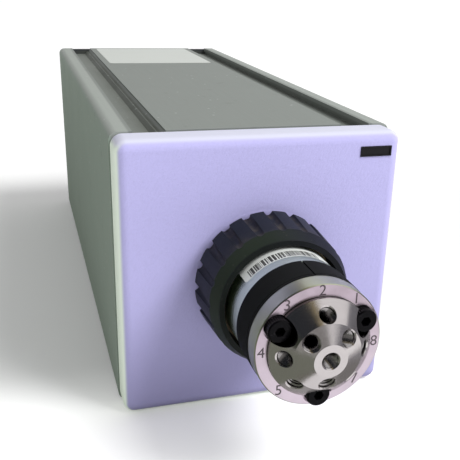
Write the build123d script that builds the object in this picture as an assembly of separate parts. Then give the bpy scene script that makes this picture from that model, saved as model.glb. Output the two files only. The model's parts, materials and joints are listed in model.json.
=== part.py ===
"""Motorised selector valve: a box-shaped valve drive with a quick-change valve head.

Units are millimetres. +Z is up, the valve points along -Y, and +X is to the right as seen
from the front. The origin is the middle of the housing's bottom face.
"""
from math import acos, atan2, cos, degrees, hypot, pi, radians, sin, tan
import os

from build123d import *

# Clearances
screw_play = 0.05          # radial, screw shank in its hole
seat_play = 0.05           # radial, fixed round piece in its seat
running_play = 0.04        # radial, turning shaft in its bore
open_play = 0.3            # radial, pieces of different bodies that only pass each other
face_play = 0.05           # axial, turning face in front of a fixed one
shaft_hole_play = 1.5      # radial, shaft through a wall that it does not touch
cut_past = 1.0             # how far a cut runs on past the face it opens

# Housing extrusion
housing_width = 100.0
housing_height = 100.0
housing_length = 244.0
housing_wall = 3.5
housing_corner = 3.0
rail_width = 7.8
groove_depth = 3.4
groove_span = 15.4         # from the housing's side to the centre rib's foot
groove_lip_height = 2.1
groove_lip_undercut = 0.6
groove_ledge_depth = 2.0
groove_ledge_width = 0.5
screw_port_radius = 4.6
screw_port_bite = 0.6      # depth of the screw port's boss in the walls
board_rib_width = 3.0
board_rib_height = 1.9

# Front plate and bezel
plate_thickness = 4.0
bezel_depth = 11.5
bezel_inset = 0.45
bezel_joint_gap = 0.4
bezel_wall = 2.6
bezel_front_wall = 3.0
bezel_corner = 4.0
bezel_edge_rounding = 3.6
bezel_post_radius = 4.0
bezel_post_edge_x = 20.0   # from the housing's side to the post
bezel_post_edge_z = 14.0
bezel_collar_play = 2.4

# Status window
window_width = 11.6
window_height = 3.5
window_edge_x = 10.0       # from the housing's side to the window's middle
window_edge_z = 7.2
window_proud = 0.35
window_rim = 0.5
window_flange = 0.9
status_board_thickness = 0.8

# Screws: shank radius, head radius, head height
cover_screw = (2.0, 3.8, 2.4)
small_screw = (1.5, 2.75, 2.0)
stator_screw = (2.0, 3.5, 4.0)
cover_screw_length = 14.0
small_screw_length = 7.0
stator_screw_length = 12.0
screw_tip_play = 1.0       # axial, between a screw's tip and its blind hole
hex_socket_share = 0.45    # hex corner radius over head radius
hex_socket_depth = 0.55    # over head height

# Valve collar
collar_radius = 21.6
collar_reach = 10.0        # in front of the bezel face
collar_flange_radius = 29.0
collar_flange_thickness = 2.3
collar_screw_circle = 25.5
collar_bore = 10.0

# Union nut
nut_back = 3.0             # its distances are in front of the bezel face
nut_shoulder = 19.0
nut_front = 24.0
nut_back_radius = 25.0
nut_shoulder_radius = 23.9
nut_lip_radius = 21.8
nut_lip_bore = 20.1
nut_lobes = 20
nut_groove_radius = 1.6
nut_groove_floor = 23.3
nut_groove_end = 18.6
nut_edge_round = 0.8
slip_ring_thickness = 0.5

# Valve pod
pod_radius = 19.0
pod_flange_radius = 21.2
pod_flange_thickness = 4.5
pod_shoulder = 34.8        # in front of the bezel face
pod_front = 46.1
pod_stub_radius = 18.3
pod_cavity_radius = 12.4
pod_rear_wall = 4.0
pod_edge_chamfer = 0.7
pod_rim_chamfer = 0.45
tag_ring_radius = 19.5
tag_ring_gap = 0.5
tag_ring_gap_angle = 1.0
tag_line_place = 1.1       # behind the ring's front
tag_line_width = 0.25
tag_line_depth = 0.25
locating_pin_radius = 1.2
locating_pin_circle = 15.5
locating_pin_reach = 6.0

# Stator head
stator_radius = 19.4
stator_rim = 52.3          # in front of the bezel face
stator_boss_radius = 15.7
stator_boss_height = 1.2
stator_break_radius = 10.4
steep_cone_height = 5.3
shallow_cone_height = 2.5
stator_flat_radius = 5.1
stator_edge_chamfer = 0.3
port_radius = 2.4          # at the thread's root
port_depth = 6.8
port_mouth_radius = 2.8
port_tip_depth = 1.6
port_bore_radius = 0.4
steep_port_circle = 12.3
shallow_port_circle = 8.0
steep_port_angles = (0, 90, 135, 225, 270)
shallow_port_angles = (45, 180, 315)
stator_screw_circle = 15.0
stator_screw_angles = (60, 180, 300)
stator_pocket_radius = 4.1
stator_pocket_depth = 1.4

# Valve rotor
stator_face_radius = 11.8
stator_face_thickness = 1.5
face_hole_circle = 1.5
face_hole_radius = 0.3
rotor_seal_radius = 8.0
rotor_seal_thickness = 1.6
seal_groove_reach = 1.8
seal_groove_width = 0.6
seal_groove_depth = 0.3
rotor_disc_radius = 10.5
rotor_disc_thickness = 3.0
rotor_stem_radius = 6.0
tongue_width = 9.0
tongue_thickness = 3.0
tongue_reach = 7.5
thrust_bearing_thickness = 3.0
thrust_race_width = 1.0
thrust_race_depth = 1.5
disc_springs = 8
disc_spring_thickness = 1.5
disc_spring_cone = 0.6

# Output shaft
shaft_head_radius = 8.5
shaft_head_length = 10.5
shaft_radius = 5.0
shaft_slot_depth = 8.0
shaft_slot_play = 0.15
bearing_radius = 11.0
bearing_width = 5.8
bearing_ring_height = 1.5
bearing_shield_depth = 0.3

# Gearbox: planets between a sun on the motor shaft and a fixed ring
gear_module = 0.7
sun_teeth = 18
planet_teeth = 18
ring_teeth = 54
gear_width = 8.0
pressure_angle = radians(20)
backlash = 0.12
planet_count = 3
planet_pin_radius = 2.0
planet_pin_end = 1.0       # behind the planet
carrier_radius = 17.0
carrier_play = 0.6
carrier_thickness = 4.0
gearbox_rim = 3.1          # outside the motor screws' circle
gearbox_front_wall = 7.0
gearbox_length = 24.0
gearbox_ear_radius = 3.6
gearbox_ear_reach = 2.8    # from the case to the ear's middle

# Motor and encoder
motor_width = 42.3
motor_length = 48.0
motor_corner = 5.0
motor_shell = 3.4
motor_end_wall = 8.0
motor_screw_edge = 5.65    # from the motor's side to the screw
motor_winding_depth = 4.55
air_gap = 0.3
rotor_core_length = 28.0
motor_shaft_radius = 2.5
motor_bearing_radius = 6.5
motor_bearing_width = 5.0
encoder_disc_edge = 7.15   # inside the motor's side
encoder_disc_thickness = 1.0
encoder_disc_place = 4.0   # behind the motor
encoder_cover_length = 9.0
encoder_cover_wall = 1.5
encoder_cover_edge = 3.0   # inside the motor's side
sensor_width = 8.0
sensor_overlap = 4.0       # over the code disc's edge
sensor_height = 5.8
sensor_back = 3.0          # behind the code disc's front
sensor_slot_play = 0.6
sensor_bridge = 1.2

# Control board
board_height = 22.0
board_thickness = 1.6
board_front = -88.0
board_slot_play = 0.1
capacitor_radius = 8.0
capacitor_height = 25.0
capacitor_edge = 1.0
capacitor_row = (-24.0, -6.0, 12.0)
capacitor_place = 23.0     # from the housing's side
driver_width = 24.0
driver_length = 34.0
driver_height = 12.0
driver_base = 4.0
driver_place = 16.0        # from the housing's side
driver_front = 10.0
driver_fins = 6
driver_fin_gap = 2.2

# Rear panel and sockets
rear_panel_thickness = 2.5
rear_panel_inset = 0.6
socket_width = 16.0
socket_height = 13.5
socket_length = 18.0
socket_mouth_width = 11.8
socket_mouth_height = 7.4
socket_mouth_depth = 11.0
socket_places_x = (-12.0, 12.0)
power_radius = 7.0
power_flange_radius = 9.5
power_flange_thickness = 1.5
power_mouth_radius = 4.8
power_mouth_depth = 9.0
power_edge_x = 18.0        # from the housing's side
power_above_axis = 14.0
power_length = 16.0
power_pins = 4
power_pin_radius = 0.5
power_pin_length = 3.5
power_pin_circle = 2.64

# Places worked out from the sizes
axis_z = housing_height / 2
joint_y = -housing_length / 2
rear_y = housing_length / 2
plate_front_y = joint_y - plate_thickness
face_y = joint_y - bezel_depth
bezel_inner_y = face_y + bezel_front_wall
cavity_x = housing_width / 2 - housing_wall
cavity_z = housing_height / 2 - groove_depth - housing_wall + 0.5
screw_port_offset_x = cavity_x + screw_port_bite - screw_port_radius
screw_port_offset_z = cavity_z + screw_port_bite - screw_port_radius
plate_half_x = housing_width / 2 - bezel_inset - bezel_wall - open_play
plate_half_z = housing_height / 2 - bezel_inset - bezel_wall - open_play
bezel_post_offset_x = housing_width / 2 - bezel_post_edge_x
bezel_post_offset_z = housing_height / 2 - bezel_post_edge_z
groove_floor_edge = housing_width / 2 - groove_span
power_place_x = housing_width / 2 - power_edge_x
power_place_z = axis_z + power_above_axis
motor_screw_offset = motor_width / 2 - motor_screw_edge
gearbox_radius = hypot(motor_screw_offset, motor_screw_offset) + gearbox_rim
gearbox_ear_circle = gearbox_radius + gearbox_ear_reach
stator_stack_bore = motor_width / 2 - motor_shell - motor_winding_depth
encoder_disc_radius = motor_width / 2 - encoder_disc_edge
collar_front_y = face_y - collar_reach
pod_flange_front = collar_reach + pod_flange_thickness
nut_thread_radius = collar_radius + open_play
nut_seat = pod_flange_front + slip_ring_thickness + 2 * face_play
bearing_seat_radius = bearing_radius + seat_play
shaft_head_front = collar_reach - 2 * open_play
shaft_head_back_y = face_y - shaft_head_front + shaft_head_length
front_bearing_y = plate_front_y - bearing_width
gearbox_back_y = joint_y + gearbox_length
gearbox_seat_y = joint_y + gearbox_front_wall
carrier_front_y = gearbox_seat_y + open_play
carrier_back_y = carrier_front_y + carrier_thickness
gear_front_y = carrier_back_y + open_play
gear_back_y = gear_front_y + gear_width
sun_pitch_radius = gear_module * sun_teeth / 2
planet_pitch_radius = gear_module * planet_teeth / 2
ring_pitch_radius = gear_module * ring_teeth / 2
planet_circle = sun_pitch_radius + planet_pitch_radius
motor_back_y = gearbox_back_y + motor_length
stator_face_back = pod_front - stator_face_thickness
seal_back = stator_face_back - rotor_seal_thickness
disc_back = seal_back - rotor_disc_thickness
thrust_back = disc_back - face_play - thrust_bearing_thickness
steep_tilt = degrees(atan2(steep_cone_height, stator_boss_radius - stator_break_radius))
shallow_tilt = degrees(atan2(shallow_cone_height, stator_break_radius - stator_flat_radius))
cone_foot = stator_rim + stator_boss_height
cone_break = cone_foot + steep_cone_height
cone_top = cone_break + shallow_cone_height
board_z = board_height + board_thickness / 2
panel_back_y = rear_y + rear_panel_thickness


def disc(radius, front, back, x=0.0, z=axis_z):
    """Solid cylinder along Y between two planes."""
    middle = Pos(x, (front + back) / 2, z)
    return middle * Rot(90, 0, 0) * Cylinder(radius, back - front)


def ring(outer, inner, front, back, x=0.0, z=axis_z):
    """Tube along Y between two planes."""
    return disc(outer, front, back, x, z) - disc(inner, front, back, x, z)


def block(x_span, y_span, z_span):
    """Box between two planes along each axis."""
    spans = (x_span, y_span, z_span)
    middle = [(low + high) / 2 for low, high in spans]
    size = [high - low for low, high in spans]
    return Pos(*middle) * Box(*size)


def rounded_plate(half_x, half_z, front, back, corner):
    """Plate about the valve axis, its edges along Y rounded."""
    plate = block((-half_x, half_x), (front, back), (axis_z - half_z, axis_z + half_z))
    return fillet(plate.edges().filter_by(Axis.Y), corner)


def turned(profile):
    """Solid of revolution about the valve axis; the profile lists (radius, y)."""
    face = make_face(Polyline(*profile, close=True))
    return Pos(0, 0, axis_z) * revolve(face, Axis.Y)


def along_y(face, front, back):
    """Extrude a face drawn as (x, z about the valve axis) between two planes."""
    return Pos(0, back, axis_z) * Rot(90, 0, 0) * extrude(face, back - front)


def ahead(distance):
    """Y of a plane at a distance in front of the bezel face."""
    return face_y - distance


def clock(radius, angle):
    """(x, z) of a point on the valve face, the angle clockwise from the top."""
    turn = radians(angle)
    return radius * sin(turn), axis_z + radius * cos(turn)


def four_corners(offset_x, offset_z):
    """(x, z) of a rectangle of points about the valve axis."""
    return [(i * offset_x, axis_z + j * offset_z) for i in (-1, 1) for j in (-1, 1)]


def screw(size, length, x, z, seat_y, faces=-1):
    """Socket-head screw whose head stands on seat_y and points to -Y or +Y."""
    shank_radius, head_radius, head_height = size
    head = Pos(0, 0, head_height / 2) * Cylinder(head_radius, head_height)
    head = chamfer(head.edges().group_by(Axis.Z)[-1], head_radius * 0.09)
    depth = head_height * hex_socket_depth
    socket = extrude(RegularPolygon(head_radius * hex_socket_share, 6), depth)
    head -= Pos(0, 0, head_height - depth) * socket
    shank = Pos(0, 0, -length / 2) * Cylinder(shank_radius, length)
    return Pos(x, seat_y, z) * Rot(-faces * 90, 0, 0) * (head + shank)


def screw_holes(size, points, front, back):
    """Clearance holes along Y for screws at the points."""
    return [disc(size[0] + screw_play, front, back, x, z) for x, z in points]


# Housing

def groove_outline(side):
    """Section of the mounting groove beside the centre rib, at the top."""
    top = housing_height / 2
    floor = top - groove_depth
    wall = housing_width / 2 - rail_width
    ledge = top - groove_ledge_depth
    foot = groove_floor_edge
    slope = groove_depth - groove_ledge_depth
    inner = foot - slope - groove_ledge_width
    crest = inner - (groove_ledge_depth - groove_lip_undercut)
    points = [
        (wall, top + cut_past),
        (wall, top - groove_lip_height),
        (wall + groove_lip_undercut, top - groove_lip_height),
        (wall + groove_lip_undercut, floor),
        (foot, floor),
        (foot - slope, ledge),
        (inner, ledge),
        (crest, top - groove_lip_undercut),
        (crest, top + cut_past),
    ]
    return Polyline(*[(side * x, z) for x, z in points], close=True)


def housing_extrusion():
    """Square tube with mounting grooves, screw ports and board slots."""
    section = RectangleRounded(housing_width, housing_height, housing_corner)
    for side in (-1, 1):
        groove = make_face(groove_outline(side))
        section -= groove
        section -= mirror(groove, Plane.XZ)
    hollow = RectangleRounded(2 * cavity_x, 2 * cavity_z, housing_corner)
    ports = []
    for x in (-screw_port_offset_x, screw_port_offset_x):
        for z in (-screw_port_offset_z, screw_port_offset_z):
            hollow -= Pos(x, z) * Circle(screw_port_radius)
            ports.append(Pos(x, z) * Circle(cover_screw[0] + screw_play))
        side = 1 if x > 0 else -1
        for step in (-1, 1):
            gap = board_thickness / 2 + board_slot_play
            height = board_z - axis_z + step * (gap + board_rib_height / 2)
            place = side * (cavity_x - board_rib_width / 2)
            hollow -= Pos(place, height) * Rectangle(board_rib_width, board_rib_height)
    section -= hollow
    for port in ports:
        section -= port
    return along_y(section, joint_y, rear_y)


def front_plate():
    """Bulkhead that carries the collar in front and the gearbox behind."""
    corner = bezel_corner - bezel_wall
    plate = rounded_plate(plate_half_x, plate_half_z, plate_front_y, joint_y, corner)
    plate -= disc(shaft_radius + shaft_hole_play, plate_front_y, joint_y)
    for points, size in (
        (four_corners(screw_port_offset_x, screw_port_offset_z), cover_screw),
        (four_corners(bezel_post_offset_x, bezel_post_offset_z), small_screw),
        (collar_screw_points(), small_screw),
        (gearbox_screw_points(), small_screw),
    ):
        for hole in screw_holes(size, points, plate_front_y, joint_y):
            plate -= hole
    return plate


def front_plate_screws():
    """Four screws from the bulkhead into the extrusion's ports."""
    points = four_corners(screw_port_offset_x, screw_port_offset_z)
    return [screw(cover_screw, cover_screw_length, x, z, plate_front_y) for x, z in points]


def window_block(grow, front, back):
    """Block on the status window's outline, grown on every side."""
    half_x = window_width / 2 + grow
    half_z = window_height / 2 + grow
    middle_x = housing_width / 2 - window_edge_x
    middle_z = housing_height - window_edge_z
    return block(
        (middle_x - half_x, middle_x + half_x),
        (front, back),
        (middle_z - half_z, middle_z + half_z),
    )


def front_bezel():
    """Moulded front cover: a rounded shell with posts, open at the collar and window."""
    half_x = housing_width / 2 - bezel_inset
    half_z = housing_height / 2 - bezel_inset
    back = joint_y - bezel_joint_gap
    shell = rounded_plate(half_x, half_z, face_y, back, bezel_corner)
    shell = fillet(shell.faces().sort_by(Axis.Y)[0].edges(), bezel_edge_rounding)
    inner = (half_x - bezel_wall, half_z - bezel_wall)
    shell -= rounded_plate(*inner, bezel_inner_y, back, bezel_corner - bezel_wall)
    shell -= disc(collar_radius + bezel_collar_play, face_y, bezel_inner_y)
    for x, z in four_corners(bezel_post_offset_x, bezel_post_offset_z):
        shell += disc(bezel_post_radius, bezel_inner_y, plate_front_y, x, z)
        hole = small_screw[0] + screw_play
        shell -= disc(hole, plate_front_y - small_screw_length, plate_front_y, x, z)
    return shell - window_block(seat_play, face_y, bezel_inner_y)


def bezel_screws():
    """Four screws from behind the bulkhead into the bezel's posts."""
    length = plate_thickness + small_screw_length - screw_tip_play
    points = four_corners(bezel_post_offset_x, bezel_post_offset_z)
    return [screw(small_screw, length, x, z, joint_y, faces=1) for x, z in points]


def status_window():
    """Dark lens with a raised rim and a flange behind the bezel's wall."""
    lens = window_block(0, face_y - window_proud, bezel_inner_y)
    lens += window_block(window_flange, bezel_inner_y, bezel_inner_y + window_flange)
    return lens - window_block(-window_rim, face_y - window_proud, face_y)


def status_board():
    """Lamp board on the back of the status window."""
    front = bezel_inner_y + window_flange
    return window_block(window_flange, front, front + status_board_thickness)


def collar_screw_points():
    """Four points on the collar's flange."""
    return [clock(collar_screw_circle, angle) for angle in (45, 135, 225, 315)]


def valve_collar():
    """Threaded collar that the union nut screws onto, with the front bearing's seat."""
    back = plate_front_y
    flange_front = back - collar_flange_thickness
    collar = disc(collar_radius, collar_front_y, back)
    collar += disc(collar_flange_radius, flange_front, back)
    collar = chamfer(collar.edges().group_by(Axis.Y)[0], pod_edge_chamfer)
    collar -= disc(collar_bore, collar_front_y, back)
    collar -= disc(bearing_seat_radius, front_bearing_y, back)
    x, z = clock(locating_pin_circle, 0)
    hole_back = collar_front_y + locating_pin_reach + open_play
    collar -= disc(locating_pin_radius + open_play / 2, collar_front_y, hole_back, x, z)
    for hole in screw_holes(small_screw, collar_screw_points(), flange_front, back):
        collar -= hole
    return collar


def collar_screws():
    """Four screws that hold the collar on the bulkhead."""
    seat = plate_front_y - collar_flange_thickness
    length = collar_flange_thickness + plate_thickness
    return [screw(small_screw, length, x, z, seat) for x, z in collar_screw_points()]


def ball_bearing(front):
    """Closed ball bearing on the output shaft, with its shields let in."""
    body = ring(bearing_radius, shaft_radius + running_play, front, front + bearing_width)
    inner = shaft_radius + bearing_ring_height
    outer = bearing_radius - bearing_ring_height
    for start in (front, front + bearing_width - bearing_shield_depth):
        body -= ring(outer, inner, start, start + bearing_shield_depth)
    return body


def output_bearings():
    """Bearings in the collar and in the gearbox's front wall."""
    rear = gearbox_seat_y - bearing_width
    return [ball_bearing(front_bearing_y), ball_bearing(rear)]


# Gear train

def gear_outline(teeth, root, tip, thicker=0.0):
    """Closed involute outline with a tooth centred on the X axis."""
    pitch = gear_module * teeth / 2
    base = pitch * cos(pressure_angle)
    flank = tan(pressure_angle) - pressure_angle
    half_pitch = pi / (2 * teeth) + flank + thicker / (2 * pitch)

    def half_tooth(radius):
        roll = acos(min(1.0, base / radius))
        return half_pitch - (tan(roll) - roll)

    radii = sorted({root, max(root, base), pitch, tip})
    points = []
    for tooth in range(teeth):
        middle = 2 * pi * tooth / teeth
        rising = [(r, middle - half_tooth(r)) for r in radii]
        falling = [(r, middle + half_tooth(r)) for r in reversed(radii)]
        points += [(r * cos(a), r * sin(a)) for r, a in rising + falling]
    return make_face(Polyline(*points, close=True))


def planet_places():
    """(direction in degrees, x, z about the axis) of each planet."""
    places = []
    for index in range(planet_count):
        direction = 90 + index * 360 / planet_count
        turn = radians(direction)
        places.append((direction, planet_circle * cos(turn), planet_circle * sin(turn)))
    return places


def pinion_face(teeth):
    """Outline of a sun or planet pinion, thinned by the backlash."""
    pitch = gear_module * teeth / 2
    return gear_outline(teeth, pitch - 1.25 * gear_module, pitch + gear_module, -backlash)


def planet_gear(place):
    """Planet pinion with a space towards the sun and another towards the ring."""
    direction, x, z = place
    face = Rot(0, 0, direction + 180 / planet_teeth) * pinion_face(planet_teeth)
    face -= Circle(planet_pin_radius + running_play)
    return along_y(Pos(x, z) * face, gear_front_y, gear_back_y)


def sun_pinion():
    """Sun pinion on the end of the motor shaft."""
    face = Rot(0, 0, 90) * pinion_face(sun_teeth)
    face -= Circle(motor_shaft_radius)
    return along_y(face, gear_front_y, gear_back_y)


def gearbox_screw_points():
    """Four points on the gearbox's ears."""
    return [clock(gearbox_ear_circle, angle) for angle in (0, 90, 180, 270)]


def motor_screw_points():
    """Four points near the motor's corners."""
    return four_corners(motor_screw_offset, motor_screw_offset)


def gearbox_case():
    """Gearbox case with the fixed ring gear cut in its bore."""
    case = disc(gearbox_radius, joint_y, gearbox_back_y)
    for x, z in gearbox_screw_points():
        ear = disc(gearbox_ear_radius, joint_y, gearbox_seat_y, x, z)
        case += ear
    for hole in screw_holes(small_screw, gearbox_screw_points(), joint_y, gearbox_seat_y):
        case -= hole
    case -= disc(shaft_radius + shaft_hole_play, joint_y, gearbox_seat_y)
    case -= disc(bearing_seat_radius, gearbox_seat_y - bearing_width, gearbox_seat_y)
    case -= disc(carrier_radius + carrier_play, gearbox_seat_y, gearbox_back_y)
    root = ring_pitch_radius + 1.25 * gear_module
    space = gear_outline(ring_teeth, ring_pitch_radius - gear_module, root, backlash / 2)
    space = Rot(0, 0, 90 + 180 / ring_teeth) * space
    case -= along_y(space, gear_front_y, gearbox_back_y)
    depth = gearbox_back_y - small_screw_length
    for hole in screw_holes(small_screw, motor_screw_points(), depth, gearbox_back_y):
        case -= hole
    return case


def gearbox_screws():
    """Four screws from the gearbox's ears into the bulkhead."""
    length = gearbox_front_wall + plate_thickness
    points = gearbox_screw_points()
    return [screw(small_screw, length, x, z, gearbox_seat_y, faces=1) for x, z in points]


def output_shaft():
    """Shaft from the planet carrier to the slotted drive head."""
    head_front = ahead(shaft_head_front)
    shaft = disc(shaft_head_radius, head_front, shaft_head_back_y)
    shaft = chamfer(shaft.edges().group_by(Axis.Y)[0], pod_edge_chamfer)
    shaft += disc(shaft_radius, shaft_head_back_y, carrier_front_y)
    half_wide = shaft_head_radius + cut_past
    half_slot = tongue_thickness / 2 + shaft_slot_play
    slot = block(
        (-half_wide, half_wide),
        (head_front, head_front + shaft_slot_depth),
        (axis_z - half_slot, axis_z + half_slot),
    )
    return shaft - slot


def planet_carrier():
    """Carrier disc with one pin for each planet."""
    carrier = disc(carrier_radius, carrier_front_y, carrier_back_y)
    for _, x, z in planet_places():
        end = gear_back_y + planet_pin_end
        carrier += disc(planet_pin_radius, carrier_back_y, end, x, axis_z + z)
    return carrier


# Motor

def motor_case():
    """Square motor body with a wall and a bearing seat at each end."""
    half = motor_width / 2
    span = (axis_z - half, axis_z + half)
    case = block((-half, half), (gearbox_back_y, motor_back_y), span)
    case = chamfer(case.edges().filter_by(Axis.Y), motor_corner)
    inner = half - motor_shell
    front = gearbox_back_y + motor_end_wall
    back = motor_back_y - motor_end_wall
    case -= disc(inner, front, back)
    case -= disc(motor_shaft_radius + open_play, gearbox_back_y, motor_back_y)
    seat = motor_bearing_radius + seat_play
    case -= disc(seat, front - motor_bearing_width, front)
    case -= disc(seat, back, back + motor_bearing_width)
    for hole in screw_holes(small_screw, motor_screw_points(), gearbox_back_y, motor_back_y):
        case -= hole
    return case


def motor_screws():
    """Four long screws through the motor into the gearbox."""
    length = motor_length + small_screw_length - screw_tip_play
    points = motor_screw_points()
    return [screw(small_screw, length, x, z, motor_back_y, faces=1) for x, z in points]


def motor_windings():
    """Wound stack pressed in the motor body round the rotor."""
    front = gearbox_back_y + motor_end_wall
    back = motor_back_y - motor_end_wall
    return ring(motor_width / 2 - motor_shell - seat_play, stator_stack_bore, front, back)


def motor_bearings():
    """Bearings of the motor shaft, one in each end wall."""
    front = gearbox_back_y + motor_end_wall - motor_bearing_width
    back = motor_back_y - motor_end_wall
    inner = motor_shaft_radius + running_play
    return [
        ring(motor_bearing_radius, inner, start, start + motor_bearing_width)
        for start in (front, back)
    ]


def encoder_disc_front():
    """Y of the encoder disc's front face."""
    return motor_back_y + encoder_disc_place


def motor_shaft():
    """Motor shaft from the sun pinion to the encoder disc."""
    return disc(motor_shaft_radius, gear_front_y, encoder_disc_front())


def rotor_core():
    """Toothed magnet core on the motor shaft."""
    middle = (gearbox_back_y + motor_back_y) / 2
    half = rotor_core_length / 2
    radius = stator_stack_bore - air_gap
    return ring(radius, motor_shaft_radius, middle - half, middle + half)


def encoder_disc():
    """Code disc on the end of the motor shaft."""
    front = encoder_disc_front()
    return disc(encoder_disc_radius, front, front + encoder_disc_thickness)


def encoder_sensor():
    """Forked sensor that reads the edge of the code disc."""
    front = encoder_disc_front()
    low = axis_z + encoder_disc_radius - sensor_overlap
    high = low + sensor_height
    half = sensor_width / 2
    sensor = block((-half, half), (motor_back_y, front + sensor_back), (low, high))
    slot = block(
        (-half - cut_past, half + cut_past),
        (front - sensor_slot_play, front + encoder_disc_thickness + sensor_slot_play),
        (low, high - sensor_bridge),
    )
    return sensor - slot


def encoder_cover():
    """Cap over the encoder, seated on the motor's rear wall."""
    back = motor_back_y + encoder_cover_length
    radius = motor_width / 2 - encoder_cover_edge
    cover = disc(radius, motor_back_y, back)
    return cover - disc(radius - encoder_cover_wall, motor_back_y, back - encoder_cover_wall)


# Electronics and rear panel

def main_board():
    """Control board held in the extrusion's slots."""
    half = cavity_x - board_slot_play
    return block((-half, half), (board_front, rear_y), (board_height, board_height + board_thickness))


def capacitors():
    """Row of reservoir capacitors on the control board."""
    base = board_height + board_thickness
    cans = []
    for y in capacitor_row:
        can = Cylinder(capacitor_radius, capacitor_height)
        can = fillet(can.edges().group_by(Axis.Z)[-1], capacitor_edge)
        x = housing_width / 2 - capacitor_place
        cans.append(Pos(x, y, base + capacitor_height / 2) * can)
    return cans


def motor_driver():
    """Driver block with a finned heat sink on the control board."""
    base = board_height + board_thickness
    edge = driver_place - housing_width / 2
    run = (driver_front, driver_front + driver_length)
    sink = block((edge, edge + driver_width), run, (base, base + driver_height))
    fin = (driver_width - (driver_fins - 1) * driver_fin_gap) / driver_fins
    for index in range(1, driver_fins):
        right = edge + index * (fin + driver_fin_gap)
        gap = (right - driver_fin_gap, right)
        sink -= block(gap, run, (base + driver_base, base + driver_height))
    return sink


def rear_panel():
    """Rear panel with cut-outs for the sockets."""
    half_x = housing_width / 2 - rear_panel_inset
    half_z = housing_height / 2 - rear_panel_inset
    panel = rounded_plate(half_x, half_z, rear_y, panel_back_y, housing_corner)
    for x in socket_places_x:
        panel -= socket_block(x, seat_play, rear_y, panel_back_y)
    panel -= disc(power_radius + seat_play, rear_y, panel_back_y, power_place_x, power_place_z)
    points = four_corners(screw_port_offset_x, screw_port_offset_z)
    for hole in screw_holes(cover_screw, points, rear_y, panel_back_y):
        panel -= hole
    return panel


def rear_panel_screws():
    """Four screws from the rear panel into the extrusion's ports."""
    points = four_corners(screw_port_offset_x, screw_port_offset_z)
    return [
        screw(cover_screw, cover_screw_length, x, z, panel_back_y, faces=1) for x, z in points
    ]


def socket_block(x, grow, front, back):
    """Block on a bus socket's outline, standing on the control board."""
    base = board_height + board_thickness
    half = socket_width / 2 + grow
    return block((x - half, x + half), (front, back), (base - grow, base + socket_height + grow))


def bus_sockets():
    """Two bus sockets on the control board, flush with the rear panel."""
    sockets = []
    middle = board_height + board_thickness + socket_height / 2
    for x in socket_places_x:
        shell = socket_block(x, 0, panel_back_y - socket_length, panel_back_y)
        sockets.append(
            shell
            - block(
                (x - socket_mouth_width / 2, x + socket_mouth_width / 2),
                (panel_back_y - socket_mouth_depth, panel_back_y),
                (middle - socket_mouth_height / 2, middle + socket_mouth_height / 2),
            )
        )
    return sockets


def power_inlet():
    """Round power inlet with its pins, seated on the rear panel."""
    place = (power_place_x, power_place_z)
    back = panel_back_y + power_flange_thickness
    floor = back - power_mouth_depth
    inlet = disc(power_radius, back - power_length, back, *place)
    inlet += disc(power_flange_radius, panel_back_y, back, *place)
    inlet -= disc(power_mouth_radius, floor, back, *place)
    for index in range(power_pins):
        turn = 2 * pi * (index + 0.5) / power_pins
        x = power_place_x + power_pin_circle * cos(turn)
        z = power_place_z + power_pin_circle * sin(turn)
        inlet += disc(power_pin_radius, floor, floor + power_pin_length, x, z)
    return inlet


# Valve head

def union_nut():
    """Hand nut with rounded grooves between its lobes and a lip round the pod."""
    back = ahead(nut_back)
    shoulder = ahead(nut_shoulder)
    front = ahead(nut_front)
    seat = ahead(nut_seat)
    nut = turned([
        (nut_lip_bore, front),
        (nut_lip_radius, front),
        (nut_shoulder_radius, shoulder),
        (nut_back_radius, back),
        (nut_thread_radius, back),
        (nut_thread_radius, seat),
        (nut_lip_bore, seat),
    ])
    nut = fillet(nut.edges().group_by(Axis.Y)[-1].sort_by(SortBy.LENGTH)[-1], nut_edge_round)
    centre = nut_groove_floor + nut_groove_radius
    end = ahead(nut_groove_end)
    for index in range(nut_lobes):
        x, z = clock(centre, index * 360 / nut_lobes)
        groove = disc(nut_groove_radius, end, back, x, z)
        nut -= groove + Pos(x, end, z) * Sphere(nut_groove_radius)
    return nut


def slip_ring():
    """Low-friction washer between the pod's flange and the nut's seat."""
    front = ahead(pod_flange_front + face_play + slip_ring_thickness)
    return ring(pod_flange_radius, pod_radius + seat_play, front, ahead(pod_flange_front + face_play))


def pod_body():
    """Barrel of the valve head, with a flange behind and a stub for the tag ring."""
    back = ahead(collar_reach)
    flange_front = ahead(pod_flange_front)
    shoulder = ahead(pod_shoulder)
    front = ahead(pod_front)
    cavity_back = back - pod_rear_wall
    pod = turned([
        (rotor_stem_radius + running_play, back),
        (pod_flange_radius, back),
        (pod_flange_radius, flange_front),
        (pod_radius, flange_front),
        (pod_radius, shoulder + pod_rim_chamfer),
        (pod_radius - pod_rim_chamfer, shoulder),
        (pod_stub_radius, shoulder),
        (pod_stub_radius, front),
        (pod_cavity_radius, front),
        (pod_cavity_radius, cavity_back),
        (rotor_stem_radius + running_play, cavity_back),
    ])
    for hole in screw_holes(stator_screw, stator_screw_points(), front, front + stator_screw_length):
        pod -= hole
    x, z = clock(locating_pin_circle, 0)
    return pod - disc(locating_pin_radius + seat_play, back - pod_rear_wall, back, x, z)


def locating_pin():
    """Pin that sets the pod's angle in the collar."""
    back = ahead(collar_reach)
    x, z = clock(locating_pin_circle, 0)
    return disc(locating_pin_radius, back - pod_rear_wall, back + locating_pin_reach, x, z)


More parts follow.
